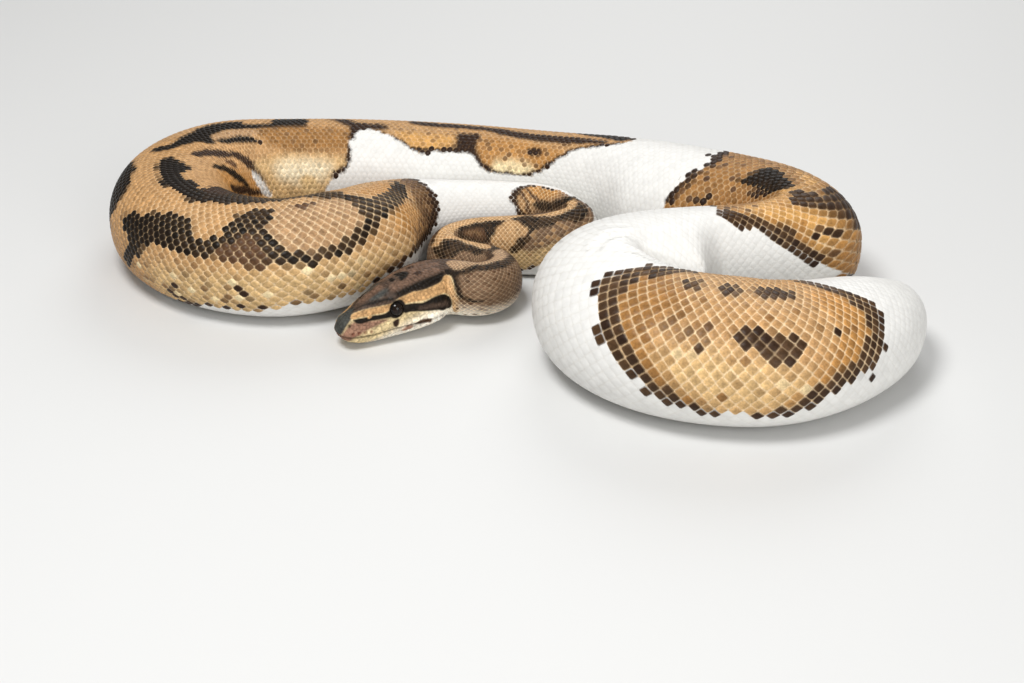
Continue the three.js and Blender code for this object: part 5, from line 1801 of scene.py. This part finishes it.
class PYTHON_OT_skin(bpy.types.Operator):
    """Build the one skin of the snake, with the head's plates, lips and eye rims"""
    bl_idname = "python_model.skin"
    bl_label = "Skin and head"

    def execute(self, context):
        skin = build_skin(SHAPE, list(eye_places().values()), context.scene.python_sizes)
        finish_piece(skin, skin_finish("Painted skin", (0.40, 0.54), 0.02))
        flesh = [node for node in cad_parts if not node.startswith("eye")]
        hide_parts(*flesh)
        return {"FINISHED"}


class PYTHON_OT_scales(bpy.types.Operator):
    """Lay the small scales over the skin, from the nape to the tip of the tail"""
    bl_idname = "python_model.scales"
    bl_label = "Scales"

    def execute(self, context):
        material = skin_finish("Scale gloss", (0.34, 0.48), 0.03)
        for piece in build_scales(SHAPE, context.scene.python_sizes):
            finish_piece(piece, material)
        return {"FINISHED"}


class PYTHON_OT_belly(bpy.types.Operator):
    """Lay the broad shields across the belly"""
    bl_idname = "python_model.belly"
    bl_label = "Belly shields"

    def execute(self, context):
        piece = build_belly(SHAPE, context.scene.python_sizes)
        finish_piece(piece, skin_finish("Belly gloss", (0.30, 0.42), 0.08))
        return {"FINISHED"}


class PYTHON_OT_eyes(bpy.types.Operator):
    """Set the two eyes in their sockets"""
    bl_idname = "python_model.eyes"
    bl_label = "Eyes"

    def execute(self, context):
        material = eye_finish("Wet eye")
        places = eye_places()
        ways = gazes([centre for centre, _, _ in places.values()])
        for (node, (centre, radius, _)), gaze in zip(places.items(), ways):
            eye = build_eye(node.replace("eye", "eyeball"), centre, radius, gaze)
            finish_piece(eye, material)
            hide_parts(node)
        return {"FINISHED"}


def area_light(name, place, aim, size, power):
    """A round soft light at a place, turned toward an aim."""
    bpy.ops.object.light_add(type="AREA", location=place)
    light = bpy.context.active_object
    light.name = name
    light.data.shape = "DISK"
    light.data.size = size
    light.data.energy = power
    way = np.array(aim, float) - np.array(place, float)
    flat = math.hypot(way[0], way[1])
    light.rotation_euler = (math.atan2(flat, -way[2]), 0, math.atan2(-way[0], way[1]))


def set_surround(scene, strength):
    """Even white light from all round."""
    scene.world = scene.world or bpy.data.worlds.new("Studio")
    scene.world.use_nodes = True
    back = scene.world.node_tree.nodes["Background"]
    set_inputs(back, {"Color": (1, 1, 1, 1), "Strength": strength})


def add_camera(scene):
    """The camera, and plain display colours."""
    scene.view_settings.view_transform = "Standard"
    bpy.ops.object.camera_add(location=CAMERA["place"], rotation=(CAMERA["tilt"], 0, 0))
    scene.camera = bpy.context.active_object
    scene.camera.data.lens = CAMERA["lens"]
    scene.camera.data.sensor_width = CAMERA["sensor"]


class PYTHON_OT_stage(bpy.types.Operator):
    """Set up the floor, the soft studio lights and the camera"""
    bl_idname = "python_model.stage"
    bl_label = "Floor, lights and camera"

    def execute(self, context):
        scene = context.scene
        size, lights = scene.python_sizes.floor_size, scene.python_lights
        bpy.ops.mesh.primitive_plane_add(size=size, location=(0, 0, -FLOOR_DROP))
        floor = context.active_object
        floor.name = "studio_floor"
        bpy.ops.object.transform_apply(location=True, rotation=True, scale=True)
        floor.data.materials.append(floor_finish("Studio floor", lights.floor_colour))
        for name, setting, place, aim, size in LIGHT_PLACES:
            area_light(name, place, aim, size, getattr(lights, setting))
        set_surround(scene, lights.world_strength)
        add_camera(scene)
        return {"FINISHED"}


class PYTHON_PT_panel(bpy.types.Panel):
    """Lists the steps that build the snake, and the sizes and colours that shape it"""
    bl_label = "Coiled python"
    bl_idname = "PYTHON_PT_panel"
    bl_space_type = "VIEW_3D"
    bl_region_type = "UI"
    bl_category = "Python"

    def draw(self, context):
        for operator in OPERATORS:
            self.layout.operator(operator.bl_idname)
        for group, holder in ((context.scene.python_sizes, PythonSizes),
                              (context.scene.python_lights, PythonLights),
                              (context.scene.python_colours, PythonColours)):
            box = self.layout.box()
            for key in holder.__annotations__:
                box.prop(group, key)


OPERATORS = (PYTHON_OT_stage, PYTHON_OT_skin, PYTHON_OT_scales, PYTHON_OT_belly, PYTHON_OT_eyes)
CLASSES = (PythonSizes, PythonColours, PythonLights, *OPERATORS, PYTHON_PT_panel)


def register():
    for cls in CLASSES:
        bpy.utils.register_class(cls)
    bpy.types.Scene.python_sizes = bpy.props.PointerProperty(type=PythonSizes)
    bpy.types.Scene.python_colours = bpy.props.PointerProperty(type=PythonColours)
    bpy.types.Scene.python_lights = bpy.props.PointerProperty(type=PythonLights)


def unregister():
    del bpy.types.Scene.python_lights
    del bpy.types.Scene.python_colours
    del bpy.types.Scene.python_sizes
    for cls in reversed(CLASSES):
        bpy.utils.unregister_class(cls)


def main():
    register()
    colours = bpy.context.scene.python_colours
    for key in PAINT:
        PAINT[key] = tuple(getattr(colours, key))
    bpy.ops.object.select_all(action="DESELECT")
    bpy.ops.python_model.stage()
    bpy.ops.python_model.skin()
    bpy.ops.python_model.scales()
    bpy.ops.python_model.belly()
    bpy.ops.object.select_all(action="DESELECT")
    bpy.ops.python_model.eyes()


if __name__ == "__main__":
    main()
